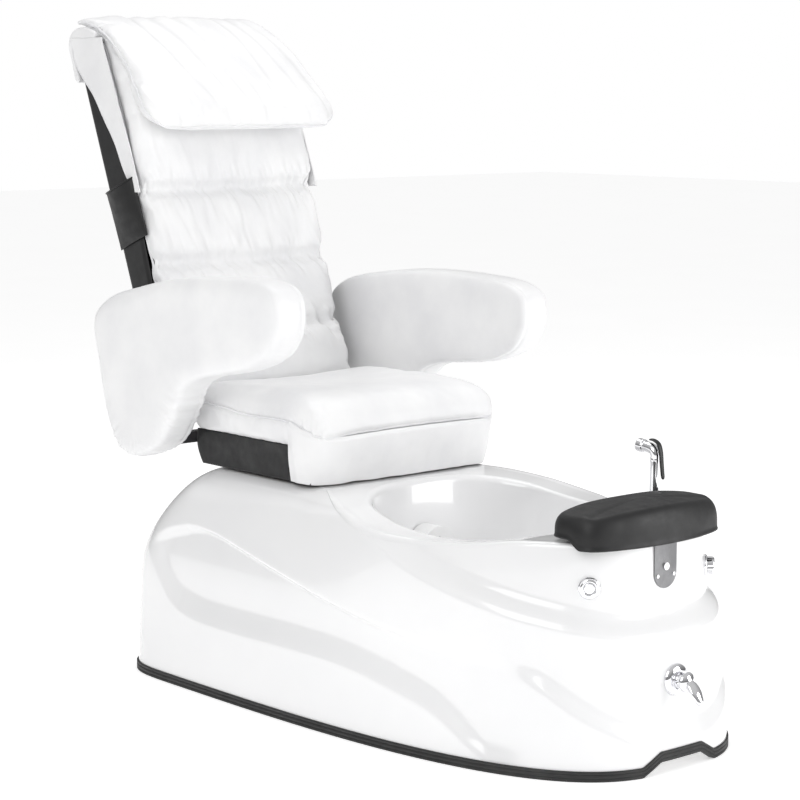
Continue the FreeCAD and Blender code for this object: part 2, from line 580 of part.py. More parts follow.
def make_massage():
    """Rack rails in the back shell, and the carriage with four kneading rollers that climbs them."""
    rails = []
    for x in (-120, 120):
        rail = back_box(x - 14, x + 14, 150, 640, 5, 19)
        rails.append(rail.cut(back_box(x - 9, x + 9, 149, 641, 8, 20)))
    parts["massage_rails"] = Part.makeCompound(rails)
    low = MASSAGE_LOW
    case = back_box(-105, 105, low, low + 60, 12, 40)
    shoes = [back_box(x - 8.6, x + 8.6, low + 5, low + 55, 8.4, 30) for x in (-120, 120)]
    links = [back_box(-121, -100, low + 15, low + 45, 24, 34), back_box(100, 121, low + 15, low + 45, 24, 34)]
    drive = cylinder(13, 120, on_back(low + 30, 26, -60), V(1, 0, 0))
    carriage = fuse(case, drive, *(shoes + links))
    for name, (x, up) in ROLLERS.items():
        centre = on_back(low + up, 50, x)
        inward = 1 if x < 0 else -1
        plate = back_box(min(x + inward * 14, x + inward * 20), max(x + inward * 14, x + inward * 20),
                         low + min(up, 30) - 8, low + max(up, 30) + 8, 36, 56)
        axle = cylinder(4, 30, centre + V(-inward * 12, 0, 0), V(inward, 0, 0))
        carriage = carriage.fuse([plate, axle])
        wheel = tube(19, 4 + RUNNING_GAP, 22, centre + V(-11, 0, 0), V(1, 0, 0))
        rims = [edge for edge in wheel.Edges if edge.BoundBox.XLength < 0.01
                and edge.BoundBox.YLength > 15]
        parts["massage_roller_" + name] = wheel.makeFillet(7, rims)
    parts["massage_carriage"] = carriage.removeSplitter()


def make_pocket():
    """Open-topped pocket for the handset, on the right side of the back shell."""
    outer = back_box(-SHELL_HALF_WIDTH - 26, -SHELL_HALF_WIDTH, 328, 468, 2, 118)
    inner = back_box(-SHELL_HALF_WIDTH - 23, -SHELL_HALF_WIDTH - 3, 332, 478, 6, 114)
    parts["handset_pocket"] = outer.cut(inner)


# ---- fittings ----------------------------------------------------------------------------------------------
def make_footrest():
    """Saddle pad over the front rim, with a longer front lip, on a stainless bracket."""
    plan_front = [(-186, -545), (-172, -592), (-100, -620), (0, -630), (100, -620), (172, -592), (186, -545)]
    plan_rear = [(180, -500), (120, -482), (0, -486), (-120, -482), (-180, -500)]
    curve = Part.BSplineCurve()
    curve.interpolate([V(x, y, 400) for x, y in plan_front + plan_rear], PeriodicFlag=True)
    block = Part.Face(Part.Wire(curve.toShape())).extrude(V(0, 0, 140))
    crown = [(-200, 488), (-150, 497), (0, 504), (150, 497), (200, 488)]
    top = Part.BSplineCurve()
    top.interpolate([V(x, -700, z) for x, z in crown])
    side = [V(200, -700, 380), V(-200, -700, 380)]
    outline = Part.Wire([top.toShape(), Part.makeLine(V(200, -700, 488), side[0]),
                         Part.makeLine(side[0], side[1]), Part.makeLine(side[1], V(-200, -700, 488))])
    pad = block.common(Part.Face(outline).extrude(V(0, 300, 0)))
    upper = [edge for edge in pad.Edges if edge.BoundBox.ZMin > 480 and edge.BoundBox.XLength > 100]
    pad = pad.makeFillet(12, upper)
    wall = FRONT_WALL_Y
    under = side_prism([(wall - 8, 400), (wall - 8, RIM_FRONT_Z + 1), (-470, RIM_FRONT_Z + 1),
                        (-470, 400)], -300, 300)
    rear_under = side_prism([(-566, 400), (-566, 450), (-470, 450), (-470, 400)], -300, 300)
    lip_low = box((-300, -700, 390), (300, -400, 428))
    parts["footrest_pad"] = pad.cut([under, rear_under, lip_low])
    plate = fuse(box((-30, wall - 3, 371), (30, wall, RIM_FRONT_Z)),
                 cylinder(30, 3, V(0, wall - 3, 371), Y_AXIS))
    shelf = box((-30, wall - 3, RIM_FRONT_Z), (30, -500, RIM_FRONT_Z + 3))
    screw_spots = [(0, 383), (-22, 366), (22, 366)]
    bracket = fuse(plate, box((-150, -566, RIM_FRONT_Z), (150, -500, RIM_FRONT_Z + 3)), shelf)
    screws = []
    for (x, z), radius in zip(screw_spots, (4.0, 2.0, 2.0)):
        bracket = bracket.cut(cylinder(radius + 0.1, 60, V(x, wall - 30, z), Y_AXIS))
        head = cylinder(radius * 1.8, radius * 0.8, V(x, wall - 3 - radius * 0.8, z), Y_AXIS)
        screws.append(fuse(cylinder(radius, 9, V(x, wall - 4, z), Y_AXIS), head))
    parts["footrest_bracket"] = bracket.removeSplitter()
    parts["bracket_screws"] = Part.makeCompound(screws)
    holes = [cylinder(radius, 40, V(x, wall - 20, z), Y_AXIS)
             for (x, z), radius in zip(screw_spots, (4.0, 2.0, 2.0))]
    parts["base_shell"] = parts["base_shell"].cut(holes)
    parts["footrest_pad"] = parts["footrest_pad"].cut(parts["footrest_bracket"])


def make_switch_and_knob():
    """Air switch on the right, drain knob on the left, both square to the curved front wall."""
    for name, point, out in (("air_switch", SWITCH_POINT, SWITCH_OUT), ("drain_knob", KNOB_POINT, KNOB_OUT)):
        barrel = cylinder(12.5, 42, point - out * 38, out)
        flange = cylinder(19, 7, point - out * 2, out)
        body = fuse(barrel, flange).cut(parts["base_shell"])
        body = max(body.Solids, key=lambda solid: solid.Volume)
        if name == "air_switch":
            body = body.cut(cylinder(11.5, 22, point - out * 12, out))
            body = body.cut(cylinder(4.0 + RUNNING_GAP, 60, point - out * 40, out))
            parts["air_switch_body"] = body
            button = fuse(cylinder(11.2, 10, point - out * 4, out), cylinder(4.0, 24, point - out * 26, out))
            rim = [edge for edge in button.Edges if (edge.CenterOfMass - point).dot(out) > 5.9]
            parts["air_switch_button"] = button.makeFillet(2.5, rim)
        else:
            body = body.cut(cylinder(4.0 + RUNNING_GAP, 90, point - out * 60, out))
            parts["drain_control_body"] = body
            knob = cylinder(17, 14, point + out * 5.3, out)
            rim = [edge for edge in knob.Edges if (edge.CenterOfMass - point).dot(out) > 19]
            knob = knob.makeFillet(5, rim)
            for index in range(6):
                angle = math.radians(60 * index)
                across = out.cross(Z_AXIS)
                spot = point + (across * math.cos(angle) + Z_AXIS * math.sin(angle)) * 21
                knob = knob.cut(cylinder(6, 20, spot + out * 4, out))
            parts["drain_knob"] = fuse(knob, cylinder(4.0, 50, point - out * 42, out))


def make_mixer():
    """Single-lever mixer: fixed body and plate, a turning dome, and a tilting teardrop lever."""
    y = VALVE_POINT.y
    out = V(0, -1, 0)
    plate = cylinder(31, 8, V(0, y - 1, VALVE_Z), out)
    plate = plate.cut(cylinder(21.0, 20, V(0, y + 6, VALVE_Z), out))
    rim = [edge for edge in plate.Edges if edge.BoundBox.YMax < y - 8 and edge.BoundBox.XLength > 55]
    parts["mixer_plate"] = plate.makeFillet(4, rim)
    body = cylinder(20.5, 52, V(0, y + 46, VALVE_Z), out)
    ports = [tube(10.5, 7.5, 40, V(x, y + 30, VALVE_Z - 50), Z_AXIS) for x in (-28, 28)]
    manifold = box((-40, y + 14, VALVE_Z - 14), (40, y + 46, VALVE_Z + 14))
    outlet = tube(10.5, 7.5, 46, V(0, y + 30, VALVE_Z + 12), Z_AXIS)
    parts["mixer_body"] = fuse(body, manifold, outlet, *ports)
    collar_y = y - 6.3
    hinge_y = collar_y - 12
    x_axis = V(1, 0, 0)
    collar = cylinder(15, 17, V(0, collar_y, VALVE_Z), out)
    collar = collar.cut(box((-6.3, hinge_y - 30, VALVE_Z - 30), (6.3, hinge_y + 9, VALVE_Z + 30)))
    parts["mixer_collar"] = collar.cut(cylinder(4, 60, V(-30, hinge_y, VALVE_Z), x_axis))
    ball = Part.makeSphere(23, V(0, hinge_y, VALVE_Z))
    ball = ball.cut(box((-40, hinge_y - 10, VALVE_Z - 60), (40, y + 60, VALVE_Z + 60)))
    tongue = fuse(cylinder(8, 12, V(-6, hinge_y, VALVE_Z), x_axis),
                  box((-6, hinge_y - 12, VALVE_Z - 8), (6, hinge_y, VALVE_Z + 8)))
    axle = cylinder(4 - RUNNING_GAP, 28, V(-14, hinge_y, VALVE_Z), x_axis)
    tip = V(0, hinge_y - 44, VALVE_Z - 36)
    grip = make_teardrop(V(0, hinge_y - 17, VALVE_Z - 6), tip, 14, 9)
    grip = grip.cut(box((-40, hinge_y - 10, VALVE_Z - 60), (40, y + 60, VALVE_Z + 60)))
    parts["mixer_lever"] = fuse(ball, tongue, axle, grip)
    return V(0, hinge_y, VALVE_Z)


def make_teardrop(start, end, radius, end_radius):
    direction = end - start
    cone = Part.makeCone(radius, end_radius, direction.Length, start, direction)
    return fuse(cone, Part.makeSphere(end_radius, end))


def make_sprayer():
    """Pull-out hand sprayer standing in a socket in the front rim."""
    rim = RIM_FRONT_Z
    socket = fuse(cylinder(12.0, 40, V(SPRAYER_X, SPRAYER_Y, rim - 36)),
                  cylinder(18, 6, V(SPRAYER_X, SPRAYER_Y, rim)))
    bore = cylinder(8 + RUNNING_GAP, 80, V(SPRAYER_X, SPRAYER_Y, rim - 60))
    parts["sprayer_socket"] = socket.cut(bore).cut(parts["base_shell"])
    shank = cylinder(8, 52, V(SPRAYER_X, SPRAYER_Y, rim - 44))
    handle = Part.makeCone(13, 9, 118, V(SPRAYER_X, SPRAYER_Y, rim + 6.3), V(0, 0, 1))
    elbow = Part.makeSphere(10.5, V(SPRAYER_X, SPRAYER_Y, rim + 128))
    neck = cylinder(10, 30, V(SPRAYER_X, SPRAYER_Y, rim + 128), V(0, 1, 0.12))
    head = Part.makeCone(12, 13.5, 16, V(SPRAYER_X, SPRAYER_Y + 26, rim + 131), V(0, 1, 0.12))
    parts["sprayer_body"] = fuse(shank, handle, elbow, neck, head)
    pivot = V(SPRAYER_X, SPRAYER_Y - 15, rim + 129)
    lever = side_prism([(pivot.y - 4, pivot.z + 10), (pivot.y + 6, pivot.z + 12.5),
                        (pivot.y + 22, pivot.z + 12.2), (pivot.y + 22, pivot.z + 15.5),
                        (pivot.y + 2, pivot.z + 16), (pivot.y - 7, pivot.z + 9),
                        (pivot.y - 12, pivot.z - 40), (pivot.y - 15, pivot.z - 62),
                        (pivot.y - 10, pivot.z - 62),
                        (pivot.y - 4, pivot.z - 40), (pivot.y - 1, pivot.z - 4)],
                       SPRAYER_X - 7, SPRAYER_X + 7)
    head_room = Part.makeSphere(11.5, V(SPRAYER_X, SPRAYER_Y, rim + 128))
    parts["sprayer_lever"] = lever.cut([parts["sprayer_body"], head_room])
    return pivot


def make_drain():
    z = BASIN_FLOOR_Z
    flange = cylinder(32, 3, V(0, DRAIN_Y, z)).fuse(cylinder(24, 34, V(0, DRAIN_Y, z - 34)))
    flange = flange.cut([cylinder(19, 60, V(0, DRAIN_Y, z - 50)), parts["foot_basin"]])
    spider = box((-19.2, DRAIN_Y - 3, z - 28), (19.2, DRAIN_Y + 3, z - 22)).fuse(
        cylinder(8, 6, V(0, DRAIN_Y, z - 28)))
    parts["drain_flange"] = fuse(flange, spider).cut(cylinder(4 + RUNNING_GAP, 20, V(0, DRAIN_Y, z - 34)))
    parts["drain_tailpiece"] = tube(20, 17.5, 120, V(0, DRAIN_Y, z - 154)).fuse(
        tube(28, 24, 20, V(0, DRAIN_Y, z - 46))).fuse(tube(28, 19.9, 4, V(0, DRAIN_Y, z - 50)))
    stopper = fuse(cylinder(27, 4, V(0, DRAIN_Y, z + 3.3)), cylinder(18, 4, V(0, DRAIN_Y, z - 0.5)),
                   cylinder(4, 36, V(0, DRAIN_Y, z - 32)))
    rim = [edge for edge in stopper.Edges if edge.BoundBox.ZMin > z + 7 and edge.BoundBox.XLength > 50]
    parts["drain_stopper"] = stopper.makeFillet(3, rim)


def make_jet(basin_inner):
    """Pipeless whirlpool jet in the rear wall of the basin."""
    back_y = 96.0
    housing = cylinder(36, back_y - 30, V(0, 30, JET_Z), Y_AXIS).cut(basin_inner)
    housing = housing.cut(cylinder(31, back_y - 38, V(0, 30, JET_Z), Y_AXIS))
    motor = cylinder(30, 46, V(0, back_y, JET_Z), Y_AXIS)
    shaft = cylinder(3, 18, V(0, back_y - 20, JET_Z), Y_AXIS)
    parts["jet_housing"] = fuse(housing, motor, shaft)
    face_y = 22.0
    bezel = cylinder(46, 60, V(0, face_y, JET_Z), Y_AXIS).common(basin_inner)
    bezel = bezel.cut(cylinder(36.3, 80, V(0, face_y + 8, JET_Z), Y_AXIS))
    for ring in range(8):
        angle = 2 * math.pi * ring / 8
        spot = V(20 * math.cos(angle), face_y - 5, JET_Z + 20 * math.sin(angle))
        bezel = bezel.cut(cylinder(5.5, 60, spot, Y_AXIS))
    bezel = bezel.cut(cylinder(5.5, 60, V(0, face_y - 5, JET_Z), Y_AXIS))
    parts["jet_cover"] = bezel
    hub = tube(8, 3 + RUNNING_GAP, 16, V(0, back_y - 24, JET_Z), Y_AXIS)
    blades = []
    for index in range(5):
        blade = box((0, back_y - 22, JET_Z + 7), (2.5, back_y - 10, JET_Z + 27))
        blade.rotate(V(0, 0, JET_Z), Y_AXIS, 72 * index)
        blades.append(blade)
    parts["jet_impeller"] = fuse(hub, *blades)


def make_power_inlet():
    """Sealed inlet body on the access panel, for the mains lead."""
    panel = parts["rear_access_panel"]
    y = max(vertex.Y for vertex in panel.Vertexes) + 1.0
    body = fuse(cylinder(10, 30, V(60, y - 24, 120), Y_AXIS), cylinder(14, 5, V(60, y, 120), Y_AXIS))
    body = body.cut(cylinder(5, 60, V(60, y - 30, 120), Y_AXIS))
    parts["rear_access_panel"] = panel.cut(cylinder(10, 80, V(60, y - 60, 120), Y_AXIS))
    parts["power_inlet"] = body.cut(parts["rear_access_panel"])


outer_body, basin_cavity = make_base()
make_support()
make_rails(outer_body)
make_seat()
make_armrests()
make_back()
make_recline()
make_massage()
make_pocket()
make_footrest()
make_switch_and_knob()
MIXER_HINGE = make_mixer()
SPRAYER_PIVOT = make_sprayer()
make_drain()
make_jet(basin_cavity)
make_power_inlet()

# ---- origin under the middle of the chair, and files -------------------------------------------------
corners = [point for shape in parts.values() for point in shape.tessellate(0.5)[0]]
ORIGIN_Y = (min(point.y for point in corners) + max(point.y for point in corners)) / 2
os.makedirs("parts", exist_ok=True)
for name, shape in parts.items():
    shape.translated(V(0, -ORIGIN_Y, 0)).exportStep("parts/" + name + ".step")
print(len(parts), "pieces, origin moved by", round(ORIGIN_Y, 3))
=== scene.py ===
import json
import math

import bmesh
import bpy
import numpy as np
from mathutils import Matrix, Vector, kdtree, noise
from mathutils.bvhtree import BVHTree


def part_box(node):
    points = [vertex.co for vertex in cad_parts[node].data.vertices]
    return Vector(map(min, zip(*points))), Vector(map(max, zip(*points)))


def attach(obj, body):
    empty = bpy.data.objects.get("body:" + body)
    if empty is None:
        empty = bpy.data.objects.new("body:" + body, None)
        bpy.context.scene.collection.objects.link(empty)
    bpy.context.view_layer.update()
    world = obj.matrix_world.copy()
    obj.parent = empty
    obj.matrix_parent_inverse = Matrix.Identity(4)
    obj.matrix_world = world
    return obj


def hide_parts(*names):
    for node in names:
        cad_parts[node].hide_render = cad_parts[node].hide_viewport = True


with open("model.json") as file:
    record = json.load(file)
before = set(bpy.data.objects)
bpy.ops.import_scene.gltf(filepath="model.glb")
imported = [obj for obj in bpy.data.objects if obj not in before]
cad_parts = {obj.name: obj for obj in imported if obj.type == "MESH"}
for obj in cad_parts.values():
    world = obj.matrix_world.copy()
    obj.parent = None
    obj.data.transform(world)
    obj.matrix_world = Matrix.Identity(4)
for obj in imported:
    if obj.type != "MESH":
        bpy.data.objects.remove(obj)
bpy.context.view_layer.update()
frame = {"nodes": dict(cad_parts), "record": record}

SEAT_PAN_FRONT_Y = 130.0
ORIGIN_Y = SEAT_PAN_FRONT_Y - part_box("seat_pan")[0][1] * 1000      # design y of the row frame's y = 0


def to_row(points):
    """Design millimetres to metres in the row frame."""
    moved = np.array(points, dtype=float)
    moved[..., 1] -= ORIGIN_Y
    return moved / 1000.0


# ---- node materials ------------------------------------------------------------------------------
class Look:
    """A procedural material under construction: a Principled shader and the nodes that feed it."""

    def __init__(self, name, colour, roughness=0.5, metallic=0.0, coat=0.0, coat_roughness=0.05,
                 specular=0.5, sheen=0.0):
        self.material = bpy.data.materials.new(name)
        self.material.use_nodes = True
        self.tree = self.material.node_tree
        self.shader = next(node for node in self.tree.nodes if node.type == "BSDF_PRINCIPLED")
        self.shader.inputs["Base Color"].default_value = (*colour, 1)
        self.shader.inputs["Roughness"].default_value = roughness
        self.shader.inputs["Metallic"].default_value = metallic
        self.shader.inputs["Coat Weight"].default_value = coat
        self.shader.inputs["Coat Roughness"].default_value = coat_roughness
        self.shader.inputs["Specular IOR Level"].default_value = specular
        self.shader.inputs["Sheen Weight"].default_value = sheen
        self.place = self.node("ShaderNodeTexCoord").outputs["Object"]
        self.bump = None

    def node(self, kind, **values):
        made = self.tree.nodes.new(kind)
        for key, value in values.items():
            if key in made.inputs:
                made.inputs[key].default_value = value
            else:
                setattr(made, key, value)
        return made

    def link(self, source, target):
        self.tree.links.new(source, target)

    def stretched(self, scale):
        mapping = self.node("ShaderNodeMapping")
        mapping.inputs["Scale"].default_value = scale
        self.link(self.place, mapping.inputs["Vector"])
        return mapping.outputs["Vector"]

    def noise(self, scale, detail=3.0, stretch=None, rough=0.55):
        made = self.node("ShaderNodeTexNoise", Scale=scale, Detail=detail, Roughness=rough)
        self.link(self.stretched(stretch) if stretch else self.place, made.inputs["Vector"])
        return made.outputs["Fac"]

    def cells(self, scale, feature="F1", stretch=None):
        made = self.node("ShaderNodeTexVoronoi", Scale=scale, feature=feature)
        self.link(self.stretched(stretch) if stretch else self.place, made.inputs["Vector"])
        return made.outputs["Distance"]

    def remap(self, value, low, high, from_low=0.3, from_high=0.7):
        made = self.node("ShaderNodeMapRange")
        made.inputs["From Min"].default_value = from_low
        made.inputs["From Max"].default_value = from_high
        made.inputs["To Min"].default_value = low
        made.inputs["To Max"].default_value = high
        self.link(value, made.inputs["Value"])
        return made.outputs["Result"]

    def relief(self, height, strength, distance):
        """Adds a bump on top of the bumps so far."""
        made = self.node("ShaderNodeBump", Strength=strength, Distance=distance)
        self.link(height, made.inputs["Height"])
        if self.bump is not None:
            self.link(self.bump, made.inputs["Normal"])
        self.bump = made.outputs["Normal"]
        self.link(self.bump, self.shader.inputs["Normal"])

    def vary_roughness(self, value, low, high, from_low=0.3, from_high=0.7):
        self.link(self.remap(value, low, high, from_low, from_high), self.shader.inputs["Roughness"])

    def vary_colour(self, value, dark, light, from_low=0.3, from_high=0.7):
        ramp = self.node("ShaderNodeValToRGB")
        ramp.color_ramp.elements[0].position = from_low
        ramp.color_ramp.elements[0].color = (*dark, 1)
        ramp.color_ramp.elements[1].position = from_high
        ramp.color_ramp.elements[1].color = (*light, 1)
        self.link(value, ramp.inputs["Fac"])
        self.link(ramp.outputs["Color"], self.shader.inputs["Base Color"])


def leather_look(name, dark, light, roughness, wrinkle=0.25):
    """Coated upholstery leather: pebbled grain, fine creases, slightly uneven shine."""
    look = Look(name, light, roughness, coat=0.06, coat_roughness=0.3, specular=0.45, sheen=0.05)
    look.vary_colour(look.noise(7.0, 4.0), dark, light, 0.3, 0.62)
    look.relief(look.noise(26.0, 5.0, (1.0, 1.0, 0.5)), wrinkle, 0.0016)
    look.relief(look.cells(620.0), 0.16, 0.0004)
    look.relief(look.cells(1500.0, "SMOOTH_F1"), 0.10, 0.0002)
    look.vary_roughness(look.noise(60.0, 3.0), roughness - 0.06, roughness + 0.08)
    return look.material


def gelcoat_look():
    look = Look("glossy white gelcoat", (0.86, 0.86, 0.865), 0.2, coat=0.8, coat_roughness=0.04)
    look.vary_colour(look.noise(3.0, 3.0), (0.845, 0.845, 0.852), (0.875, 0.875, 0.878))
    look.relief(look.noise(9.0, 2.0), 0.05, 0.002)
    look.relief(look.noise(420.0, 2.0), 0.02, 0.0002)
    look.vary_roughness(look.noise(14.0, 4.0), 0.15, 0.26)
    return look.material


def moulded_look(name, dark, light, roughness, grain=700.0, strength=0.15, coat=0.0):
    """Moulded plastic, foam skin or rubber with a fine texture."""
    look = Look(name, light, roughness, coat=coat, coat_roughness=0.25)
    look.vary_colour(look.noise(12.0, 4.0), dark, light)
    look.relief(look.noise(grain, 3.0), strength, 0.0004)
    look.relief(look.noise(30.0, 3.0), 0.06, 0.001)
    look.vary_roughness(look.noise(40.0, 4.0), roughness - 0.06, roughness + 0.08)
    return look.material


def metal_look(name, dark, light, low, high, brushed=None, strength=0.05):
    look = Look(name, light, low, metallic=1.0)
    look.vary_colour(look.noise(18.0, 3.0), dark, light)
    if brushed:
        lines = look.noise(60.0, 4.0, brushed)
        look.relief(lines, strength, 0.0002)
        look.vary_roughness(lines, low, high)
    else:
        look.relief(look.noise(90.0, 2.0), strength, 0.0002)
        look.vary_roughness(look.noise(35.0, 4.0), low, high)
    return look.material


def plywood_look():
    look = Look("raw plywood", (0.6, 0.45, 0.28), 0.7)
    look.vary_colour(look.noise(9.0, 5.0, (1.0, 12.0, 30.0)), (0.42, 0.28, 0.15), (0.7, 0.53, 0.34))
    look.relief(look.noise(60.0, 4.0, (1.0, 14.0, 30.0)), 0.2, 0.0006)
    return look.material


WHITE_LEATHER = leather_look("white satin leather", (0.80, 0.80, 0.81), (0.87, 0.87, 0.872), 0.44)
BLACK_VINYL = leather_look("black vinyl", (0.003, 0.003, 0.0035), (0.007, 0.007, 0.0075), 0.56, 0.4)
GELCOAT = gelcoat_look()
PIPING = leather_look("white piping leather", (0.72, 0.72, 0.74), (0.82, 0.82, 0.83), 0.4, 0.1)
BLACK_SHELL = moulded_look("black satin shell", (0.004, 0.004, 0.0045), (0.009, 0.009, 0.0095), 0.46, 900.0,
                           0.12)
FOAM_SKIN = moulded_look("black polyurethane skin", (0.0025, 0.0025, 0.003), (0.006, 0.006, 0.0065), 0.50,
                         520.0, 0.22)
TRIM_RUBBER = moulded_look("black trim rubber", (0.010, 0.010, 0.010), (0.024, 0.024, 0.024), 0.55, 300.0,
                           0.3)
CHROME = metal_look("polished chrome", (0.80, 0.80, 0.82), (0.88, 0.88, 0.90), 0.05, 0.10, strength=0.02)
BRUSHED = metal_look("brushed steel", (0.17, 0.17, 0.175), (0.27, 0.27, 0.275), 0.26, 0.42, (40.0, 40.0, 1.5))
ZINC = metal_look("zinc plated steel", (0.50, 0.50, 0.50), (0.64, 0.64, 0.63), 0.35, 0.5, strength=0.15)
BRASS = metal_look("machined brass", (0.60, 0.45, 0.20), (0.72, 0.57, 0.28), 0.25, 0.38, (1.0, 60.0, 60.0))
PAINTED = moulded_look("black powder coat", (0.03, 0.03, 0.033), (0.055, 0.055, 0.06), 0.5, 480.0, 0.3)
GREY_PLASTIC = moulded_look("grey plastic", (0.24, 0.24, 0.25), (0.32, 0.32, 0.33), 0.5)
WHITE_PLASTIC = moulded_look("white plastic", (0.80, 0.80, 0.80), (0.87, 0.87, 0.87), 0.35, 600.0, 0.08)
ROLLER_RUBBER = moulded_look("roller rubber", (0.07, 0.07, 0.075), (0.12, 0.12, 0.13), 0.6)
PLYWOOD = plywood_look()

SLOT_LOOKS = {
    "white_leather": WHITE_LEATHER, "gelcoat": GELCOAT, "black_rubber": TRIM_RUBBER,
    "black_foam_skin": FOAM_SKIN, "black_shell": BLACK_SHELL, "black_vinyl": BLACK_VINYL,
    "chrome": CHROME, "brushed_steel": BRUSHED, "painted_steel": PAINTED, "zinc_steel": ZINC,
    "plywood": PLYWOOD, "grey_plastic": GREY_PLASTIC, "white_plastic": WHITE_PLASTIC, "brass": BRASS,
    "roller_rubber": ROLLER_RUBBER,
}


# ---- mesh helpers --------------------------------------------------------------------------------
def add_mesh(name, points, faces, look):
    """A smooth-shaded object from design points in millimetres."""
    mesh = bpy.data.meshes.new(name)
    mesh.from_pydata([tuple(point) for point in to_row(points)], [], [tuple(face) for face in faces])
    mesh.validate()
    made = bpy.data.objects.new(name, mesh)
    bpy.context.scene.collection.objects.link(made)
    mesh.materials.append(look)
    tidy_normals(made)
    return made


def tidy_normals(made):
    work = bmesh.new()
    work.from_mesh(made.data)
    bmesh.ops.remove_doubles(work, verts=work.verts, dist=1e-6)
    bmesh.ops.recalc_face_normals(work, faces=work.faces)
    work.to_mesh(made.data)
    work.free()
    for polygon in made.data.polygons:
        polygon.use_smooth = True


def grid_faces(rows, columns, wrap_columns=True, start=0):
    faces = []
    for row in range(rows - 1):
        for column in range(columns if wrap_columns else columns - 1):
            after = (column + 1) % columns
            faces.append((start + row * columns + column, start + row * columns + after,
                          start + (row + 1) * columns + after, start + (row + 1) * columns + column))
    return faces


def apply_modifiers(made):
    graph = bpy.context.evaluated_depsgraph_get()
    graph.update()
    done = bpy.data.meshes.new_from_object(made.evaluated_get(graph))
    made.modifiers.clear()
    old = made.data
    made.data = done
    bpy.data.meshes.remove(old)
    for polygon in made.data.polygons:
        polygon.use_smooth = True


def coordinates(made):
    flat = np.empty(len(made.data.vertices) * 3)
    made.data.vertices.foreach_get("co", flat)
    return flat.reshape(-1, 3)


def set_coordinates(made, points):
    made.data.vertices.foreach_set("co", np.ascontiguousarray(points).ravel())
    made.data.update()


def normals(made):
    flat = np.empty(len(made.data.vertices) * 3)
    made.data.vertex_normals.foreach_get("vector", flat)
    return flat.reshape(-1, 3)


def design(made):
    """Vertex places in design millimetres."""
    points = coordinates(made) * 1000.0
    points[:, 1] += ORIGIN_Y
    return points


def smooth_step(low, high, value):
    share = np.clip((value - low) / (high - low), 0.0, 1.0)
    return share * share * (3.0 - 2.0 * share)


def spline_loop(points, count):
    """Evenly spaced points of a smooth closed curve through the given ones."""
    corners = np.array(points, dtype=float)
    total = len(corners)
    dense = []
    for index in range(total):
        before, here, after, later = (corners[(index + step) % total] for step in (-1, 0, 1, 2))
        spans = ((before, here), (here, after), (after, later))
        reach = [max(np.linalg.norm(b - a), 1e-6) ** 0.5 for a, b in spans]
        start = ((here - before) / reach[0] - (after - before) / (reach[0] + reach[1])
                 + (after - here) / reach[1])
        finish = ((after - here) / reach[1] - (later - here) / (reach[1] + reach[2])
                  + (later - after) / reach[2])
        start, finish = start * reach[1], finish * reach[1]
        for share in np.linspace(0, 1, 24, endpoint=False):
            square, cube = share * share, share ** 3
            dense.append((2 * cube - 3 * square + 1) * here + (cube - 2 * square + share) * start
                         + (3 * square - 2 * cube) * after + (cube - square) * finish)
    return even_points(np.array(dense), count, closed=True)


def even_points(path, count, closed=False):
    if closed:
        path = np.vstack([path, path[:1]])
    steps = np.linalg.norm(np.diff(path, axis=0), axis=1)
    reach = np.concatenate([[0.0], np.cumsum(steps)])
    wanted = np.linspace(0, reach[-1], count, endpoint=not closed)
    return np.stack([np.interp(wanted, reach, path[:, axis]) for axis in range(path.shape[1])], axis=1)


def spline_path(points, count):
    """Evenly spaced points of a smooth open curve."""
    corners = np.array(points, dtype=float)
    padded = np.vstack([2 * corners[0] - corners[1], corners, 2 * corners[-1] - corners[-2]])
    dense = []
    for index in range(1, len(padded) - 2):
        before, here, after, later = padded[index - 1:index + 3]
        for share in np.linspace(0, 1, 24, endpoint=False):
            square, cube = share * share, share ** 3
            dense.append(0.5 * (2 * here + (after - before) * share
                                + (2 * before - 5 * here + 4 * after - later) * square
                                + (3 * here - before - 3 * after + later) * cube))
    dense.append(corners[-1])
    return even_points(np.array(dense), count)


def outline_pad(outline, low_x, high_x, radius, count=200, layers=5):
    """Closed block: a YZ outline extruded along X with rounded edges, as points and faces."""
    loop = spline_loop(outline, count)
    ahead = np.roll(loop, -2, axis=0) - np.roll(loop, 2, axis=0)
    ahead /= np.linalg.norm(ahead, axis=1)[:, None]
    inward = np.stack([-ahead[:, 1], ahead[:, 0]], axis=1)
    area = np.sum(loop[:, 0] * np.roll(loop[:, 1], -1) - np.roll(loop[:, 0], -1) * loop[:, 1])
    if area < 0:
        inward = -inward
    rows = []
    for turn in np.linspace(0, math.pi / 2, layers):
        rows.append((low_x + radius * (1 - math.sin(turn)), radius * (1 - math.cos(turn))))
    rows = rows[::-1]
    profile = rows + [(low_x + high_x - x, inset) for x, inset in rows[::-1]]
    points = []
    for x, inset in profile:
        moved = loop + inward * inset
        points.append(np.column_stack([np.full(count, x), moved]))
    faces = grid_faces(len(profile), count)
    for row, x in ((0, profile[0][0]), (len(profile) - 1, profile[-1][0])):
        faces.append([row * count + column for column in range(count)])
    return np.vstack(points), faces


def snap_path(path, target, lift=0.0):
    """Path points moved onto a piece's surface."""
    tree = BVHTree.FromObject(target, bpy.context.evaluated_depsgraph_get())
    moved = []
    for point in to_row(path):
        place, normal, _, _ = tree.find_nearest(Vector(point))
        moved.append(np.array(place + normal * lift / 1000.0))
    moved = np.array(moved)
    for _ in range(3):
        moved[1:-1] = 0.25 * moved[:-2] + 0.5 * moved[1:-1] + 0.25 * moved[2:]
    moved = moved * 1000.0
    moved[:, 1] += ORIGIN_Y
    return moved


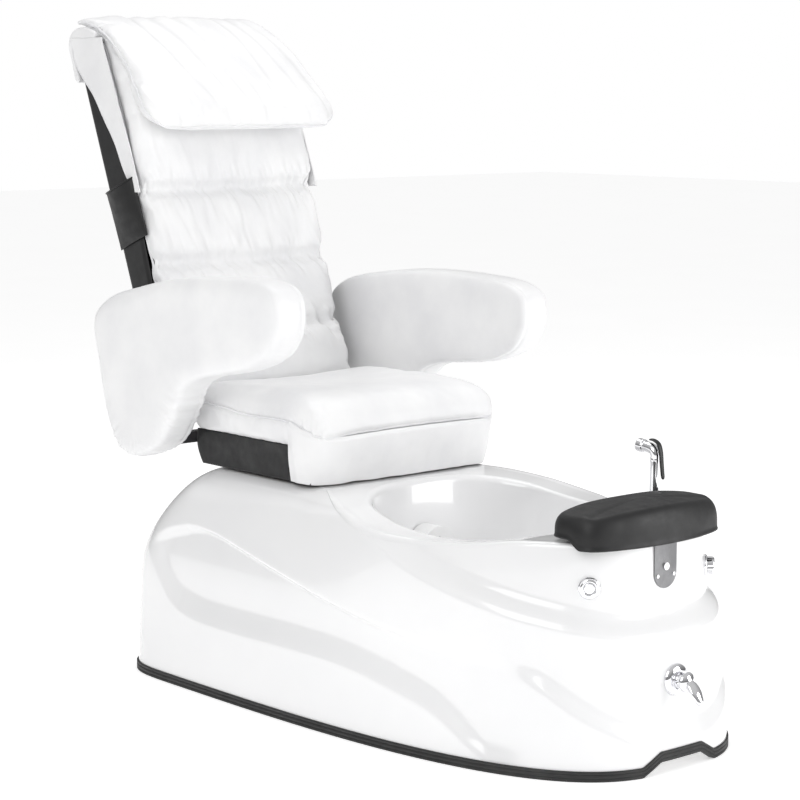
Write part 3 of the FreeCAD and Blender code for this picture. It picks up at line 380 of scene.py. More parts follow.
def tube_along(name, path, radius, look, sides=10, closed=False):
    """A round tube along design points, with domed ends when it is open."""
    path = np.array(path, dtype=float)
    count = len(path)
    if closed:
        ahead = np.roll(path, -1, axis=0) - np.roll(path, 1, axis=0)
    else:
        ahead = np.gradient(path, axis=0)
    ahead /= np.linalg.norm(ahead, axis=1)[:, None]
    up = np.array([1.0, 0.0, 0.0])
    if abs(ahead[0] @ up) > 0.8:
        up = np.array([0.0, 0.0, 1.0])
    radii = np.full(count, float(radius)) if np.isscalar(radius) else np.array(radius, dtype=float)
    rings = []
    for index in range(count):
        up = up - ahead[index] * (up @ ahead[index])
        up /= np.linalg.norm(up)
        side = np.cross(ahead[index], up)
        for turn in range(sides):
            angle = 2 * math.pi * turn / sides
            rings.append(path[index] + (up * math.cos(angle) + side * math.sin(angle)) * radii[index])
    faces = grid_faces(count, sides)
    if closed:
        faces += [((count - 1) * sides + turn, (count - 1) * sides + (turn + 1) % sides, (turn + 1) % sides,
                   turn)
                  for turn in range(sides)]
        return add_mesh(name, rings, faces, look)
    for row, step in ((0, -1), (count - 1, 1)):
        tip = len(rings)
        rings.append(path[row] + ahead[row] * step * radii[row] * 0.6)
        ring = [row * sides + turn for turn in range(sides)]
        faces += [(ring[turn], ring[(turn + 1) % sides], tip) for turn in range(sides)]
    return add_mesh(name, rings, faces, look)


def swept(line, wide, thick, sides):
    """Closed ends and elliptical rings along a path in the YZ plane, as points and faces."""
    ahead = np.gradient(line, axis=0)
    ahead /= np.linalg.norm(ahead, axis=1)[:, None]
    across = np.array([1.0, 0.0, 0.0])
    rings = []
    for index, place in enumerate(line):
        up = np.cross(across, ahead[index])
        for turn in range(sides):
            angle = 2 * math.pi * turn / sides
            rings.append(place + across * math.cos(angle) * wide[index] + up * math.sin(angle) * thick[index])
    faces = grid_faces(len(line), sides)
    faces.append(list(range(sides)))
    faces.append([(len(line) - 1) * sides + turn for turn in range(sides)])
    return rings, faces


def turned(name, profile, look, start, direction, sides=48):
    """A lathed piece: profile of (distance along, radius) from start in a direction."""
    axis = np.array(direction, dtype=float)
    axis /= np.linalg.norm(axis)
    up = np.array([0.0, 0.0, 1.0]) if abs(axis[2]) < 0.9 else np.array([1.0, 0.0, 0.0])
    up = up - axis * (up @ axis)
    up /= np.linalg.norm(up)
    side = np.cross(axis, up)
    points = []
    for along, radius in profile:
        for turn in range(sides):
            angle = 2 * math.pi * turn / sides
            points.append(np.array(start) + axis * along
                          + (up * math.cos(angle) + side * math.sin(angle)) * max(radius, 0.01))
    faces = grid_faces(len(profile), sides)
    faces.append(list(range(sides)))
    faces.append([(len(profile) - 1) * sides + turn for turn in range(sides)])
    return add_mesh(name, points, faces, look)


# ---- soft goods ----------------------------------------------------------------------------------
def remesh(made, voxel_mm):
    modifier = made.modifiers.new("remesh", "REMESH")
    modifier.mode = "VOXEL"
    modifier.voxel_size = voxel_mm / 1000.0
    modifier.use_smooth_shade = True
    apply_modifiers(made)


def puff(made, cap_mm, pressure=4.0, growth=0.0, pins=None, frames=20):
    """Cloth under inner pressure, with the movement of every point capped."""
    rest = coordinates(made)
    cloth = made.modifiers.new("cloth", "CLOTH")
    settings = cloth.settings
    settings.quality = 5
    settings.mass = 0.3
    settings.tension_stiffness = 18
    settings.compression_stiffness = 14
    settings.shear_stiffness = 8
    settings.bending_stiffness = 0.6
    settings.use_pressure = True
    settings.uniform_pressure_force = pressure
    settings.shrink_min = -growth
    settings.effector_weights.gravity = 0.0
    cloth.collision_settings.use_collision = False
    cloth.collision_settings.use_self_collision = False
    if pins is not None:
        group = made.vertex_groups.new(name="held")
        for index, weight in enumerate(pins):
            if weight > 0.01:
                group.add([index], float(weight), "REPLACE")
        settings.vertex_group_mass = "held"
        settings.pin_stiffness = 1.0
    cloth.point_cache.frame_start = 1
    cloth.point_cache.frame_end = frames
    scene = bpy.context.scene
    for step in range(1, frames + 1):
        scene.frame_set(step)
    graph = bpy.context.evaluated_depsgraph_get()
    swollen = made.evaluated_get(graph)
    flat = np.empty(len(swollen.data.vertices) * 3)
    swollen.data.vertices.foreach_get("co", flat)
    moved = flat.reshape(-1, 3) - rest
    made.modifiers.clear()
    scene.frame_set(1)
    length = np.linalg.norm(moved, axis=1)
    limit = cap_mm / 1000.0
    share = limit * np.tanh(length / limit) / np.maximum(length, 1e-9)
    set_coordinates(made, rest + moved * share[:, None])


def relax(made, rounds=2, strength=0.5):
    work = bmesh.new()
    work.from_mesh(made.data)
    for _ in range(rounds):
        bmesh.ops.smooth_vert(work, verts=work.verts, factor=strength, use_axis_x=True, use_axis_y=True,
                              use_axis_z=True)
    work.to_mesh(made.data)
    work.free()


def subdivide(made):
    modifier = made.modifiers.new("finer", "SUBSURF")
    modifier.levels = 1
    modifier.render_levels = 1
    apply_modifiers(made)


def wander(points, scale, seed=0.0):
    """Smooth noise from -1 to 1 at design points; scale is a size in mm, one number or three."""
    size = np.array(scale, dtype=float) * np.ones(3)
    offset = Vector((seed * 3.7, seed * 1.3, seed * 2.1))
    return np.array([noise.noise(Vector(tuple(point / size)) + offset) for point in points])


def press(made, depth):
    """Moves every point inwards along its normal by a depth in mm."""
    set_coordinates(made, coordinates(made) - normals(made) * np.asarray(depth)[:, None] / 1000.0)


def distance_to(points, path):
    tree = kdtree.KDTree(len(path))
    for index, point in enumerate(path):
        tree.insert(Vector(tuple(point)), index)
    tree.balance()
    return np.array([tree.find(Vector(tuple(point)))[2] for point in points])


def seam_groove(made, path, depth, width):
    points = design(made)
    press(made, depth * np.exp(-(distance_to(points, path) / width) ** 2))


def declare_soft(made, body, node):
    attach(made, body)
    if node:
        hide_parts(node)


def stand_for(made, body, node):
    """A rigid or thin piece that takes a CAD node's place."""
    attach(made, body)
    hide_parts(node)


def trim_piece(made, body):
    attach(made, body)


# ---- the base's skin -----------------------------------------------------------------------------
BASE_HALF_WIDTH = 368.0
WIDEST_Y = 450.0
FRONT_REACH = 1115.0
REAR_REACH = 250.0
FRONT_POWER = 3.0
REAR_POWER = 4.5
DECK_Z = 458.0
SHOULDER_Z = 228.0
BASE_WALL = 5.0
LEDGE_LINE = [(0, 276), (120, 281), (210, 294), (380, 323), (570, 370), (690, 414), (800, 450),
              (1000, 520), (1852, 560)]
MIDDLE_LINE = [(0, 72), (105, 80), (205, 126), (305, 186), (385, 209), (490, 220), (610, 230),
               (830, 266), (1090, 317), (1200, 337), (1275, 341), (1395, 322), (1450, 300), (1852, 300)]
LOWER_LINE = [(0, -80), (340, -60), (430, 43), (520, 110), (610, 140), (715, 162), (830, 173),
              (1190, 174), (1280, 182), (1335, 202), (1380, 242), (1450, 300), (1852, 300)]
CHANNEL_DEPTH = [(0, 0), (290, 0), (365, 8), (430, 13), (600, 15), (1380, 15), (1470, 0), (1852, 0)]
PANEL_DEPTH = [(0, 16), (290, 12), (365, 8), (600, 4), (900, 0), (1852, 0)]
CREASE_HALF = [(0, 24), (300, 22), (420, 18), (600, 10), (900, 8), (1250, 9), (1330, 16), (1852, 22)]
LEDGE_DEPTH = 28.0
RIM_LINE = [(-700, 436), (-470, 436), (-340, 419), (-230, 414), (-110, 422), (0, 441), (135, 458), (800, 458)]
BASIN_Y = -185.0
BASIN_HALF_WIDTH = 233.0
BASIN_HALF_LENGTH = 270.0
BASIN_FLOOR_Z = 216.0
BASIN_POWER = 2.7
TRIM_LIFT = [(0, 24), (56, 24), (98, 0), (400, 0)]


def footprint(turn, half_width, front, rear, rear_power):
    turn = np.asarray(turn, dtype=float)
    ahead = turn <= 0.5
    angle = np.where(ahead, turn, 1.0 - turn) * math.pi
    power = np.where(ahead, 2.0 / FRONT_POWER, 2.0 / rear_power)
    sine = np.clip(np.sin(angle), 0, 1) ** power
    cosine = np.clip(np.cos(angle), 0, 1) ** power
    return half_width * sine, np.where(ahead, WIDEST_Y - front * cosine, WIDEST_Y + rear * cosine)


TURNS = np.linspace(0, 1, 2001)
FOOT_X, FOOT_Y = footprint(TURNS, BASE_HALF_WIDTH, FRONT_REACH, REAR_REACH, REAR_POWER)
STATIONS = np.concatenate([[0.0], np.cumsum(np.hypot(np.diff(FOOT_X), np.diff(FOOT_Y)))])
HALF_GIRTH = STATIONS[-1]


def along(line, station):
    """Smooth curve through (station, value) points."""
    place = np.array([pair[0] for pair in line], dtype=float)
    value = np.array([pair[1] for pair in line], dtype=float)
    station = np.asarray(station, dtype=float)
    index = np.clip(np.searchsorted(place, station, side="left") - 1, 0, len(line) - 2)
    left, right = place[index], place[index + 1]
    low, high = value[index], value[index + 1]
    before, after = np.maximum(index - 1, 0), np.minimum(index + 2, len(line) - 1)
    width = right - left
    slope_in = (high - value[before]) / (right - place[before]) * width
    slope_out = (value[after] - low) / (place[after] - left) * width
    share = np.clip((station - left) / width, 0, 1)
    square, cube = share * share, share ** 3
    return ((2 * cube - 3 * square + 1) * low + (cube - 2 * square + share) * slope_in
            + (3 * square - 2 * cube) * high + (cube - square) * slope_out)


def wave_depth(station, z):
    channel, panel = along(CHANNEL_DEPTH, station), along(PANEL_DEPTH, station)
    lower, middle, ledge = (along(line, station) for line in (LOWER_LINE, MIDDLE_LINE, LEDGE_LINE))
    crease = np.interp(station, [pair[0] for pair in CREASE_HALF], [pair[1] for pair in CREASE_HALF])
    depth = channel * smooth_step(lower - 30, lower + 30, z)
    depth += (panel - channel) * smooth_step(middle - crease, middle + crease, z)
    depth += LEDGE_DEPTH * smooth_step(ledge - 24, ledge + 24, z)
    return depth * smooth_step(8, 60, z)


def skin(station, z, wall=0.0):
    """Points of the base's skin on the +X side."""
    station, z = np.broadcast_arrays(np.asarray(station, dtype=float), np.asarray(z, dtype=float))
    level = np.minimum(z, DECK_Z)
    rise = np.clip((level - SHOULDER_Z) / (DECK_Z - SHOULDER_Z), 0, 1)
    dome = 1.0 - np.sqrt(np.clip(1.0 - rise * rise, 0, 1))
    turn = np.interp(station, STATIONS, TURNS)
    plain_y = footprint(turn, BASE_HALF_WIDTH, FRONT_REACH, REAR_REACH, REAR_POWER)[1]
    behind = 0.25 + 0.75 * smooth_step(-250, 150, plain_y)
    taper = 16.0 * level / DECK_Z
    half_width = BASE_HALF_WIDTH - (taper + 140.0 * dome) * behind
    front = FRONT_REACH - 0.5 * taper
    rear = REAR_REACH - taper - 212.0 * dome
    rear_power = REAR_POWER - 1.5 * smooth_step(200, 420, level)
    x, y = footprint(turn, half_width, front, rear, rear_power)
    near = footprint(np.maximum(turn - 0.002, 0), half_width, front, rear, rear_power)
    far = footprint(np.minimum(turn + 0.002, 1), half_width, front, rear, rear_power)
    run_x, run_y = far[0] - near[0], far[1] - near[1]
    flat = (turn < 0.004) | (turn > 0.996)
    run_x = np.where(flat, np.where(turn < 0.5, 1.0, -1.0), run_x)
    run_y = np.where(flat, 0.0, run_y)
    length = np.hypot(run_x, run_y)
    depth = wave_depth(station, z) + wall
    return np.stack([np.maximum(x - run_y / length * depth, 0.0), y + run_x / length * depth, z], axis=-1)


def rim_height(y):
    return along(RIM_LINE, y)


def basin_point(angle, scale, grow=0.0):
    """Point of the basin outline on the ray at an angle from +Y, per unit scale."""
    sine, cosine = np.sin(angle), np.cos(angle)
    half_x, half_y = BASIN_HALF_WIDTH * scale + grow, BASIN_HALF_LENGTH * scale + grow
    total = (np.abs(sine) / half_x) ** BASIN_POWER + (np.abs(cosine) / half_y) ** BASIN_POWER
    reach = total ** (-1 / BASIN_POWER)
    return reach


def make_base_skin():
    half = 300
    # stations evenly spaced along the half girth
    stations = np.linspace(0, HALF_GIRTH, half)
    top = np.full(half, DECK_Z)
    for _ in range(12):
        top = np.minimum(rim_height(skin(stations, top)[:, 1]), DECK_Z)
    foot = skin(stations, 10.0)
    bottom = np.interp(foot[:, 0], [pair[0] for pair in TRIM_LIFT], [pair[1] for pair in TRIM_LIFT])
    bottom = np.where(foot[:, 1] > 0, 0.0, bottom) + 3.0
    lip = 11.0 - 10.5 * smooth_step(-60, 120, skin(stations, top)[:, 1])
    rows = []
    for share in np.linspace(0, 1, 150):
        ease = 1 - (1 - share) ** 1.7
        rows.append(skin(stations, bottom + (top - lip - bottom) * ease))
    edge = rows[-1]
    angle = np.arctan2(edge[:, 0], edge[:, 1] - BASIN_Y)
    ray = np.stack([np.sin(angle), np.cos(angle), np.zeros(half)], axis=1)
    reach_out = np.hypot(edge[:, 0], edge[:, 1] - BASIN_Y)
    centre = np.array([0.0, BASIN_Y, 0.0])

    def at(reach, z):
        point = centre + ray * reach[:, None]
        point[:, 2] = z
        return point

    for turn in np.linspace(0, math.pi / 2, 7)[1:]:
        reach = reach_out - lip * (1 - math.cos(turn))
        rows.append(at(reach, edge[:, 2] + lip * math.sin(turn)))
    inner_lip = 9.0 + 7.0 * smooth_step(-60, 60, edge[:, 1])
    reach_start = reach_out - lip
    reach_end = basin_point(angle, 1.0) + inner_lip
    reach_end = np.minimum(reach_end, reach_start - 0.5)
    for share in np.linspace(0, 1, 26)[1:]:
        reach = reach_start + (reach_end - reach_start) * share
        y = centre[1] + ray[:, 1] * reach
        blend_in = smooth_step(0, 0.25, share)
        rows.append(at(reach, (edge[:, 2] + lip) * (1 - blend_in) + rim_height(y) * blend_in))
    brim = rows[-1][:, 2]
    for turn in np.linspace(0, math.pi / 2, 8)[1:]:
        rows.append(at(reach_end - inner_lip * math.sin(turn), brim - inner_lip * (1 - math.cos(turn))))
    wall_top = brim - inner_lip
    full = basin_point(angle, 1.0)
    for share in np.linspace(0, 1, 46)[1:]:
        depth_share = 1 - share
        width = float(along([(0.0, 0.0), (0.08, 0.22), (0.35, 0.62), (1.0, 1.0)], depth_share))
        z = BASIN_FLOOR_Z + (wall_top - BASIN_FLOOR_Z) * depth_share
        rows.append(at(np.minimum(basin_point(angle, 0.78 + 0.22 * width), full), z))
    for share in (0.94, 0.84, 0.66, 0.46, 0.26, 0.1):
        rows.append(at(basin_point(angle, 0.78) * share, BASIN_FLOOR_Z - 3 * (1 - share)))
    side = np.array(rows)
    whole = np.concatenate([side, side[:, -2:0:-1] * np.array([-1.0, 1.0, 1.0])], axis=1)
    count = whole.shape[1]
    points = list(whole.reshape(-1, 3))
    faces = grid_faces(len(rows), count)
    middle = len(points)
    points.append(np.array([0.0, BASIN_Y, BASIN_FLOOR_Z - 3]))
    last = (len(rows) - 1) * count
    faces += [(last + column, last + (column + 1) % count, middle) for column in range(count)]
    made = add_mesh("base_moulding", points, faces, GELCOAT)
    thick = made.modifiers.new("wall", "SOLIDIFY")
    thick.thickness = BASE_WALL / 1000.0
    thick.offset = -1.0
    apply_modifiers(made)
    cut_holes(made)
    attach(made, "base")
    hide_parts("base_shell", "foot_basin")
    return made


def cut_holes(made):
    """Openings for the access panel and the drain."""
    for low, high in (((-110, 640, 70), (110, 760, 190)), ((-24, -274, 196), (24, -226, 240))):
        low, high = to_row([low, high])
        bpy.ops.mesh.primitive_cube_add(size=1.0, location=tuple((low + high) / 2))
        cutter = bpy.context.object
        cutter.scale = tuple(high - low)
        bpy.context.view_layer.update()
        cut = made.modifiers.new("opening", "BOOLEAN")
        cut.object = cutter
        cut.solver = "EXACT"
        apply_modifiers(made)
        bpy.data.objects.remove(cutter, do_unlink=True)


def make_trim():
    """Ribbed rubber strip round the foot of the base, arched over the toe space."""
    half = 420
    stations = np.linspace(0, HALF_GIRTH, half)
    foot = skin(stations, 10.0)
    lift = np.interp(foot[:, 0], [pair[0] for pair in TRIM_LIFT], [pair[1] for pair in TRIM_LIFT])
    lift = np.where(foot[:, 1] > 0, 0.0, lift)
    profile = [(-9, 0.2), (3.0, 0.2), (3.6, 1.2), (3.6, 4.6), (2.2, 5.4), (2.2, 6.4), (3.6, 7.2), (3.6, 12.2),
               (2.2, 13.0), (2.2, 14.0), (3.6, 14.8), (3.6, 18.6), (2.8, 19.8), (0.2, 20.0), (0.1, 3.2),
               (-9, 3.0)]
    columns = []
    for proud, height in profile:
        ring = skin(stations, 10.0, -proud)
        ring[:, 2] = height + lift
        columns.append(np.concatenate([ring, ring[-2:0:-1] * np.array([-1.0, 1.0, 1.0])]))
    count = len(columns[0])
    faces = grid_faces(len(columns), count)
    last = (len(columns) - 1) * count
    faces += [(last + column, last + (column + 1) % count, (column + 1) % count, column)
              for column in range(count)]
    made = add_mesh("base_trim", np.vstack(columns), faces, TRIM_RUBBER)
    stand_for(made, "base", "floor_trim")


# ---- seat ----------------------------------------------------------------------------------------
SEAT_OUTLINE = [(140, 533), (118, 538), (107, 560), (109, 588), (121, 610), (150, 626), (230, 638),
                (350, 640), (470, 636), (548, 624), (568, 600), (567, 560), (552, 535), (440, 532), (340,
                                                                                                     531.5),
                (240, 531.5)]


def make_seat_cushion():
    points, faces = outline_pad(SEAT_OUTLINE, -247, 247, 24)
    made = add_mesh("seat_cushion_cover", points, faces, WHITE_LEATHER)
    remesh(made, 6.0)
    spots = design(made)
    held = smooth_step(540, 535, spots[:, 2])
    puff(made, 9.0, 3.5, 0.02, held)
    relax(made, 3)
    subdivide(made)
    spots = design(made)
    x, y, z = spots.T
    top = smooth_step(600, 640, z)
    hollow = 18.0 * top * np.exp(-((x / 150) ** 2 + ((y - 400) / 130) ** 2))
    soft = 1.6 * top * wander(spots, (90, 120, 90), 1.0)
    front_side = smooth_step(330, 190, y) * smooth_step(150, 235, np.abs(x)) * smooth_step(610, 585, z)
    gather = 3.8 * front_side * np.maximum(wander(spots, (200, 9, 60), 2.0), -0.3)
    side = smooth_step(200, 240, np.abs(x)) * smooth_step(640, 600, z)
    pucker = 1.1 * side * wander(spots, (200, 16, 50), 3.0)
    press(made, hollow + soft + gather + pucker)
    welt = spline_path([(-246, 560, 598), (-253, 470, 598), (-255, 350, 590), (-255, 250, 592), (-253, 190,
                                                                                                 584),
                        (-243, 142, 571), (-205, 114, 563), (-140, 108, 565), (-60, 107, 567), (20, 107, 568),
                        (100, 108, 567), (175, 110, 566), (228, 124, 569), (249, 160, 580), (255, 230, 594),
                        (255, 350, 590), (253, 470, 598), (246, 560, 598)], 420)
    welt = snap_path(welt, made)
    seam_groove(made, welt, 3.2, 7.0)
    welt = snap_path(welt, made, 0.6)
    cord = tube_along("seat_welt", welt, 2.3, PIPING)
    declare_soft(made, "seat", "seat_cushion")
    trim_piece(cord, "seat")
    return made


def make_apron():
    """Front panel hanging from the welt to the deck, wrapped round both front corners."""
    top = spline_path([(-257, 206, 590), (-257, 168, 579), (-248, 130, 569), (-214, 106, 563),
                       (-150, 100.5, 564), (-60, 99.5, 566), (40, 99.5, 566), (140, 100.5, 565), (214, 106,
                                                                                                  564),
                       (248, 130, 569), (257, 168, 580), (257, 206, 592)], 300)
    foot = spline_path([(-244, 212, 462), (-245, 176, 462), (-237, 150, 461.5), (-208, 131, 461.5), (-150,
                                                                                                     128,
                                                                                                     461.5),
                        (-60, 127, 461.5), (40, 127, 461.5), (140, 128, 461.5), (208, 131, 461.5), (237,
                                                                                                    150,
                                                                                                    461.5),
                        (245, 176, 462), (244, 212, 462)], 300)
    rows = 44
    sheet = []
    reach = np.linspace(-1, 1, 300)
    for share in np.linspace(0, 1, rows):
        ring = top * (1 - share) + foot * share
        outward = np.stack([np.gradient(ring[:, 1]), -np.gradient(ring[:, 0])], axis=1)
        outward /= np.linalg.norm(outward, axis=1)[:, None]
        bow = 5.0 * math.sin(math.pi * share) * (1 - 0.6 * np.abs(reach) ** 6)
        samples = ring * np.array([1.0, 1.0, 0.18])
        fold = 4.8 * smooth_step(0.0, 0.7, share) * wander(samples, 34, 5.0)
        fold += 5.0 * smooth_step(0.05, 0.9, share) * wander(samples, 85, 6.0)
        pinch = -7.0 * np.exp(-((share - 0.35) / 0.22) ** 2) * smooth_step(0.93, 1.0, np.abs(reach))
        tuck = -6.5 * math.exp(-(share / 0.035) ** 2)
        ring[:, :2] += outward * (bow + fold + pinch + tuck)[:, None]
        ring[:, 2] += 1.6 * share * wander(samples, 60, 7.0)
        ring[:, 1] += 7.0 * np.exp(-((share - 0.35) / 0.25) ** 2) * smooth_step(0.9, 1.0, np.abs(reach))
        ring[:, 2] = np.maximum(ring[:, 2], 461.2)
        sheet.append(ring)
    made = add_mesh("seat_front_apron", np.vstack(sheet), grid_faces(rows, 300, False), WHITE_LEATHER)
    thick = made.modifiers.new("thickness", "SOLIDIFY")
    thick.thickness = 0.0024
    thick.offset = 0.0
    finer = made.modifiers.new("finer", "SUBSURF")
    finer.levels = finer.render_levels = 1
    apply_modifiers(made)
    stand_for(made, "seat", "seat_apron")


def make_skirt():
    """Black box under the seat, drawn in at the rear, with a slight fabric-like wobble."""
    for side in (-1, 1):
        rows = []
        columns = 70
        for share in np.linspace(0, 1, 24):
            rear = 528 + 24 * math.sin(math.pi * min(share * 0.8, 0.5)) - 8 * share ** 3
            y = np.linspace(152, rear, columns)
            x = np.full(columns, 239.5)
            z = np.full(columns, 461.5 + (537 - 461.5) * share)
            spots = np.column_stack([x, y, z * 1.2])
            x = x + 1.6 * wander(spots, (60, 60, 30), 8.0) - 1.5 * math.sin(math.pi * share)
            rows.append(np.column_stack([x * side, y, z]))
        made = add_mesh("seat_box_side_" + ("left" if side > 0 else "right"), np.vstack(rows),
                        grid_faces(24, columns, False), BLACK_VINYL)
        thick = made.modifiers.new("thickness", "SOLIDIFY")
        thick.thickness = 0.003
        apply_modifiers(made)
        stand_for(made, "seat", "side_skirts")


# ---- armrests ------------------------------------------------------------------------------------
ARM_OUTLINE = [(120, 851), (250, 864), (400, 866), (550, 854), (690, 826), (744, 784), (738, 680), (714, 560),
               (680, 496), (640, 479), (600, 478), (517, 507), (452, 574), (418, 624), (362, 648), (270, 660),
               (170, 678), (102, 714), (72, 768), (78, 826)]


def make_armrest():
    points, faces = outline_pad(ARM_OUTLINE, 287, 368, 13, 260)
    made = add_mesh("left_armrest_cover", points, faces, WHITE_LEATHER)
    remesh(made, 6.0)
    spots = design(made)
    puff(made, 3.5, 3.0, 0.0)
    relax(made, 3)
    subdivide(made)
    spots = design(made)
    loop = spline_loop(ARM_OUTLINE, 500)
    _, y, z = spots.T
    flat = np.column_stack([np.zeros(len(spots)), y, z])
    ring = np.column_stack([np.zeros(len(loop)), loop])
    tree = kdtree.KDTree(len(ring))
    for index, point in enumerate(ring):
        tree.insert(Vector(tuple(point)), index)
    tree.balance()
    found = [tree.find(Vector(tuple(point))) for point in flat]
    station = np.array([item[1] for item in found]) * (2400.0 / 500)
    inset = np.array([item[2] for item in found])
    lobe = np.exp(-(((y - 655) / 75) ** 2 + ((z - 490) / 60) ** 2))
    arch = np.exp(-(((y - 455) / 70) ** 2 + ((z - 575) / 60) ** 2))
    nose = np.exp(-(((y - 110) / 60) ** 2 + ((z - 700) / 45) ** 2))
    along_edge = np.column_stack([station, np.zeros(len(spots)), inset * 0.25])
    folds = wander(along_edge, (13, 60, 26), 9.0) + 0.5 * wander(along_edge, (27, 60, 40), 10.0)
    fade = np.exp(-(inset / 42) ** 2)
    press(made, (5.6 * lobe + 4.6 * arch + 1.4 * nose) * fade * np.maximum(folds, -0.45)
          + 0.8 * wander(spots, (80, 110, 90), 11.0))
    seam_x = 304.0
    seam = snap_path(np.column_stack([np.full(len(loop), seam_x), loop]), made)
    seam_groove(made, seam, 2.4, 4.5)
    return made


def mirrored(made, name):
    copy = made.copy()
    copy.data = made.data.copy()
    copy.name = name
    bpy.context.scene.collection.objects.link(copy)
    points = coordinates(copy)
    points[:, 0] *= -1
    set_coordinates(copy, points)
    copy.data.flip_normals()
    return copy


ARM_PIVOT = (606.0, 545.0)
RIGHT_ARM_RAISED = math.radians(4.5)   # the right armrest stands a little above the left one


def raise_front(made, angle):
    """Turns an armrest up about its pivot."""
    points = coordinates(made)
    y = points[:, 1] - (ARM_PIVOT[0] - ORIGIN_Y) / 1000.0
    z = points[:, 2] - ARM_PIVOT[1] / 1000.0
    points[:, 1] += y * math.cos(angle) + z * math.sin(angle) - y
    points[:, 2] += z * math.cos(angle) - y * math.sin(angle) - z
    set_coordinates(made, points)


# ---- backrest ------------------------------------------------------------------------------------
LEAN = math.atan2(1003.0 - 705.0, 1365.0 - 600.0)
BACK_OUTLINE = [(630, 596), (604, 580), (586, 596), (608, 690), (650, 790), (690, 890), (724, 1010),
                (748, 1120), (786, 1230), (852, 1338), (908, 1394), (960, 1408), (992, 1392), (990, 1376),
                (950, 1379), (914, 1379), (878, 1306), (775, 1062), (698, 812)]
GATHERS = [1048.0, 887.0, 742.0]


def make_back_pad():
    points, faces = outline_pad(BACK_OUTLINE, -243, 243, 20, 300)
    made = add_mesh("back_cover", points, faces, WHITE_LEATHER)
    remesh(made, 6.0)
    spots = design(made)
    held = np.zeros(len(spots))
    for height in GATHERS:
        held = np.maximum(held, np.exp(-((spots[:, 2] - height) / 7.0) ** 2))
    puff(made, 12.0, 4.0, 0.03, held)
    relax(made, 2)
    subdivide(made)
    spots = design(made)
    x, y, z = spots.T
    front = smooth_step(-0.2, 0.4, -normals(made)[:, 1])
    side = smooth_step(205, 238, np.abs(x))
    depth = np.zeros(len(spots))
    for number, height in enumerate(GATHERS):
        wobble = height + 5.0 * wander(np.column_stack([x, 0 * x, 0 * x]), (70, 1, 1), 12.0 + number)
        away = z - wobble
        depth += (12.5 * front + 7.0 * side) * np.exp(-(away / 13.0) ** 2)
        slant = x + away * (0.25 + 0.12 * number)
        samples = np.column_stack([slant, 0 * x, away * 0.35])
        pleat = wander(samples, (15, 1, 40), 20.0 + number) + 0.6 * wander(samples, (30, 1, 60),
                                                                           30.0 + number)
        reach = 46.0 + 18.0 * wander(np.column_stack([x, 0 * x, 0 * x]), (55, 1, 1), 40.0 + number)
        uneven = 0.85 + 0.5 * smooth_step(-140, 180, x)
        depth += uneven * (8.4 * front + 3.0 * side) * np.maximum(pleat, -0.45) * np.exp(-(away / reach) ** 2)
    samples = np.column_stack([x + 0.15 * z, 0 * x, z])
    long_folds = wander(samples, (26, 1, 170), 50.0)
    depth += 4.6 * front * np.maximum(long_folds, -0.2) * smooth_step(620, 700, z)
    depth += 1.6 * wander(spots, 60, 51.0) * front
    press(made, depth)
    relax(made, 1, 0.3)
    declare_soft(made, "backrest", "back_pad")
    rear = [(631, 606), (700, 812), (777, 1062), (880, 1306), (908, 1362)]
    for sign, name in ((-1, "right"), (1, "left")):
        edge = spline_path([(sign * 246, y, z) for y, z in rear], 160)
        edge = snap_path(edge, made, 1.0)
        cord = tube_along("back_edge_piping_" + name, edge, 2.4, PIPING)
        trim_piece(cord, "backrest")
    return made


SHELL_FRONT = [(602, 626), (1054, 768), (1375, 905)]       # height, y of the shell's front edge
SHELL_REAR = [(600, 705), (1365, 1003), (1375, 1007)]
WING_EDGE = [(1040, 1.0), (1090, 0.86), (1190, 0.64), (1250, 0.42), (1290, 0.2), (1330, 0.04), (1390, 0.0)]


def make_wings():
    """The cover's sides, drawn back over the shell's flanks to a slanting piped edge."""
    rows, columns = 90, 36
    for sign, name in ((-1, "right"), (1, "left")):
        points, edge = [], []
        for z in np.linspace(1042, 1384, rows):
            front, rear = along(SHELL_FRONT, z) - 26.0, along(SHELL_REAR, z) + 1.0
            last = rear - along(WING_EDGE, z) * (rear - front - 26.0) + 2.5 * math.sin(z / 17.0)
            for y in np.linspace(front, max(last, front + 3.0), columns):
                crease = 1.1 * noise.noise(Vector((y / 30.0, z / 24.0, 5.5 + sign)))
                points.append((sign * (249.6 + crease), y, z))
            edge.append(points[-1])
        made = add_mesh("back_cover_wing_" + name, points, grid_faces(rows, columns, False), WHITE_LEATHER)
        thick = made.modifiers.new("thickness", "SOLIDIFY")
        thick.thickness = 0.003
        thick.offset = 0.0
        apply_modifiers(made)
        trim_piece(made, "backrest")
        cord = tube_along("wing_piping_" + name, np.array(edge), 2.4, PIPING)
        trim_piece(cord, "backrest")


def make_hood():
    """The cover's hem, hooked over the top rear corner of the black shell."""
    outline = [(908, 1392), (960, 1408), (1004, 1397), (1019, 1370), (1007, 1328), (987, 1281), (977, 1286),
               (996, 1334), (1004, 1362), (990, 1373), (950, 1377), (912, 1379)]
    points, faces = outline_pad(outline, -251, 251, 3, 200)
    made = add_mesh("back_cover_hood", points, faces, WHITE_LEATHER)
    remesh(made, 4.0)
    relax(made, 2)
    subdivide(made)
    spots = design(made)
    hem = smooth_step(1350, 1290, spots[:, 2])
    press(made, 1.4 * hem * wander(spots, (16, 60, 22), 70.0) + 0.8 * wander(spots, 60, 71.0))
    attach(made, "backrest")


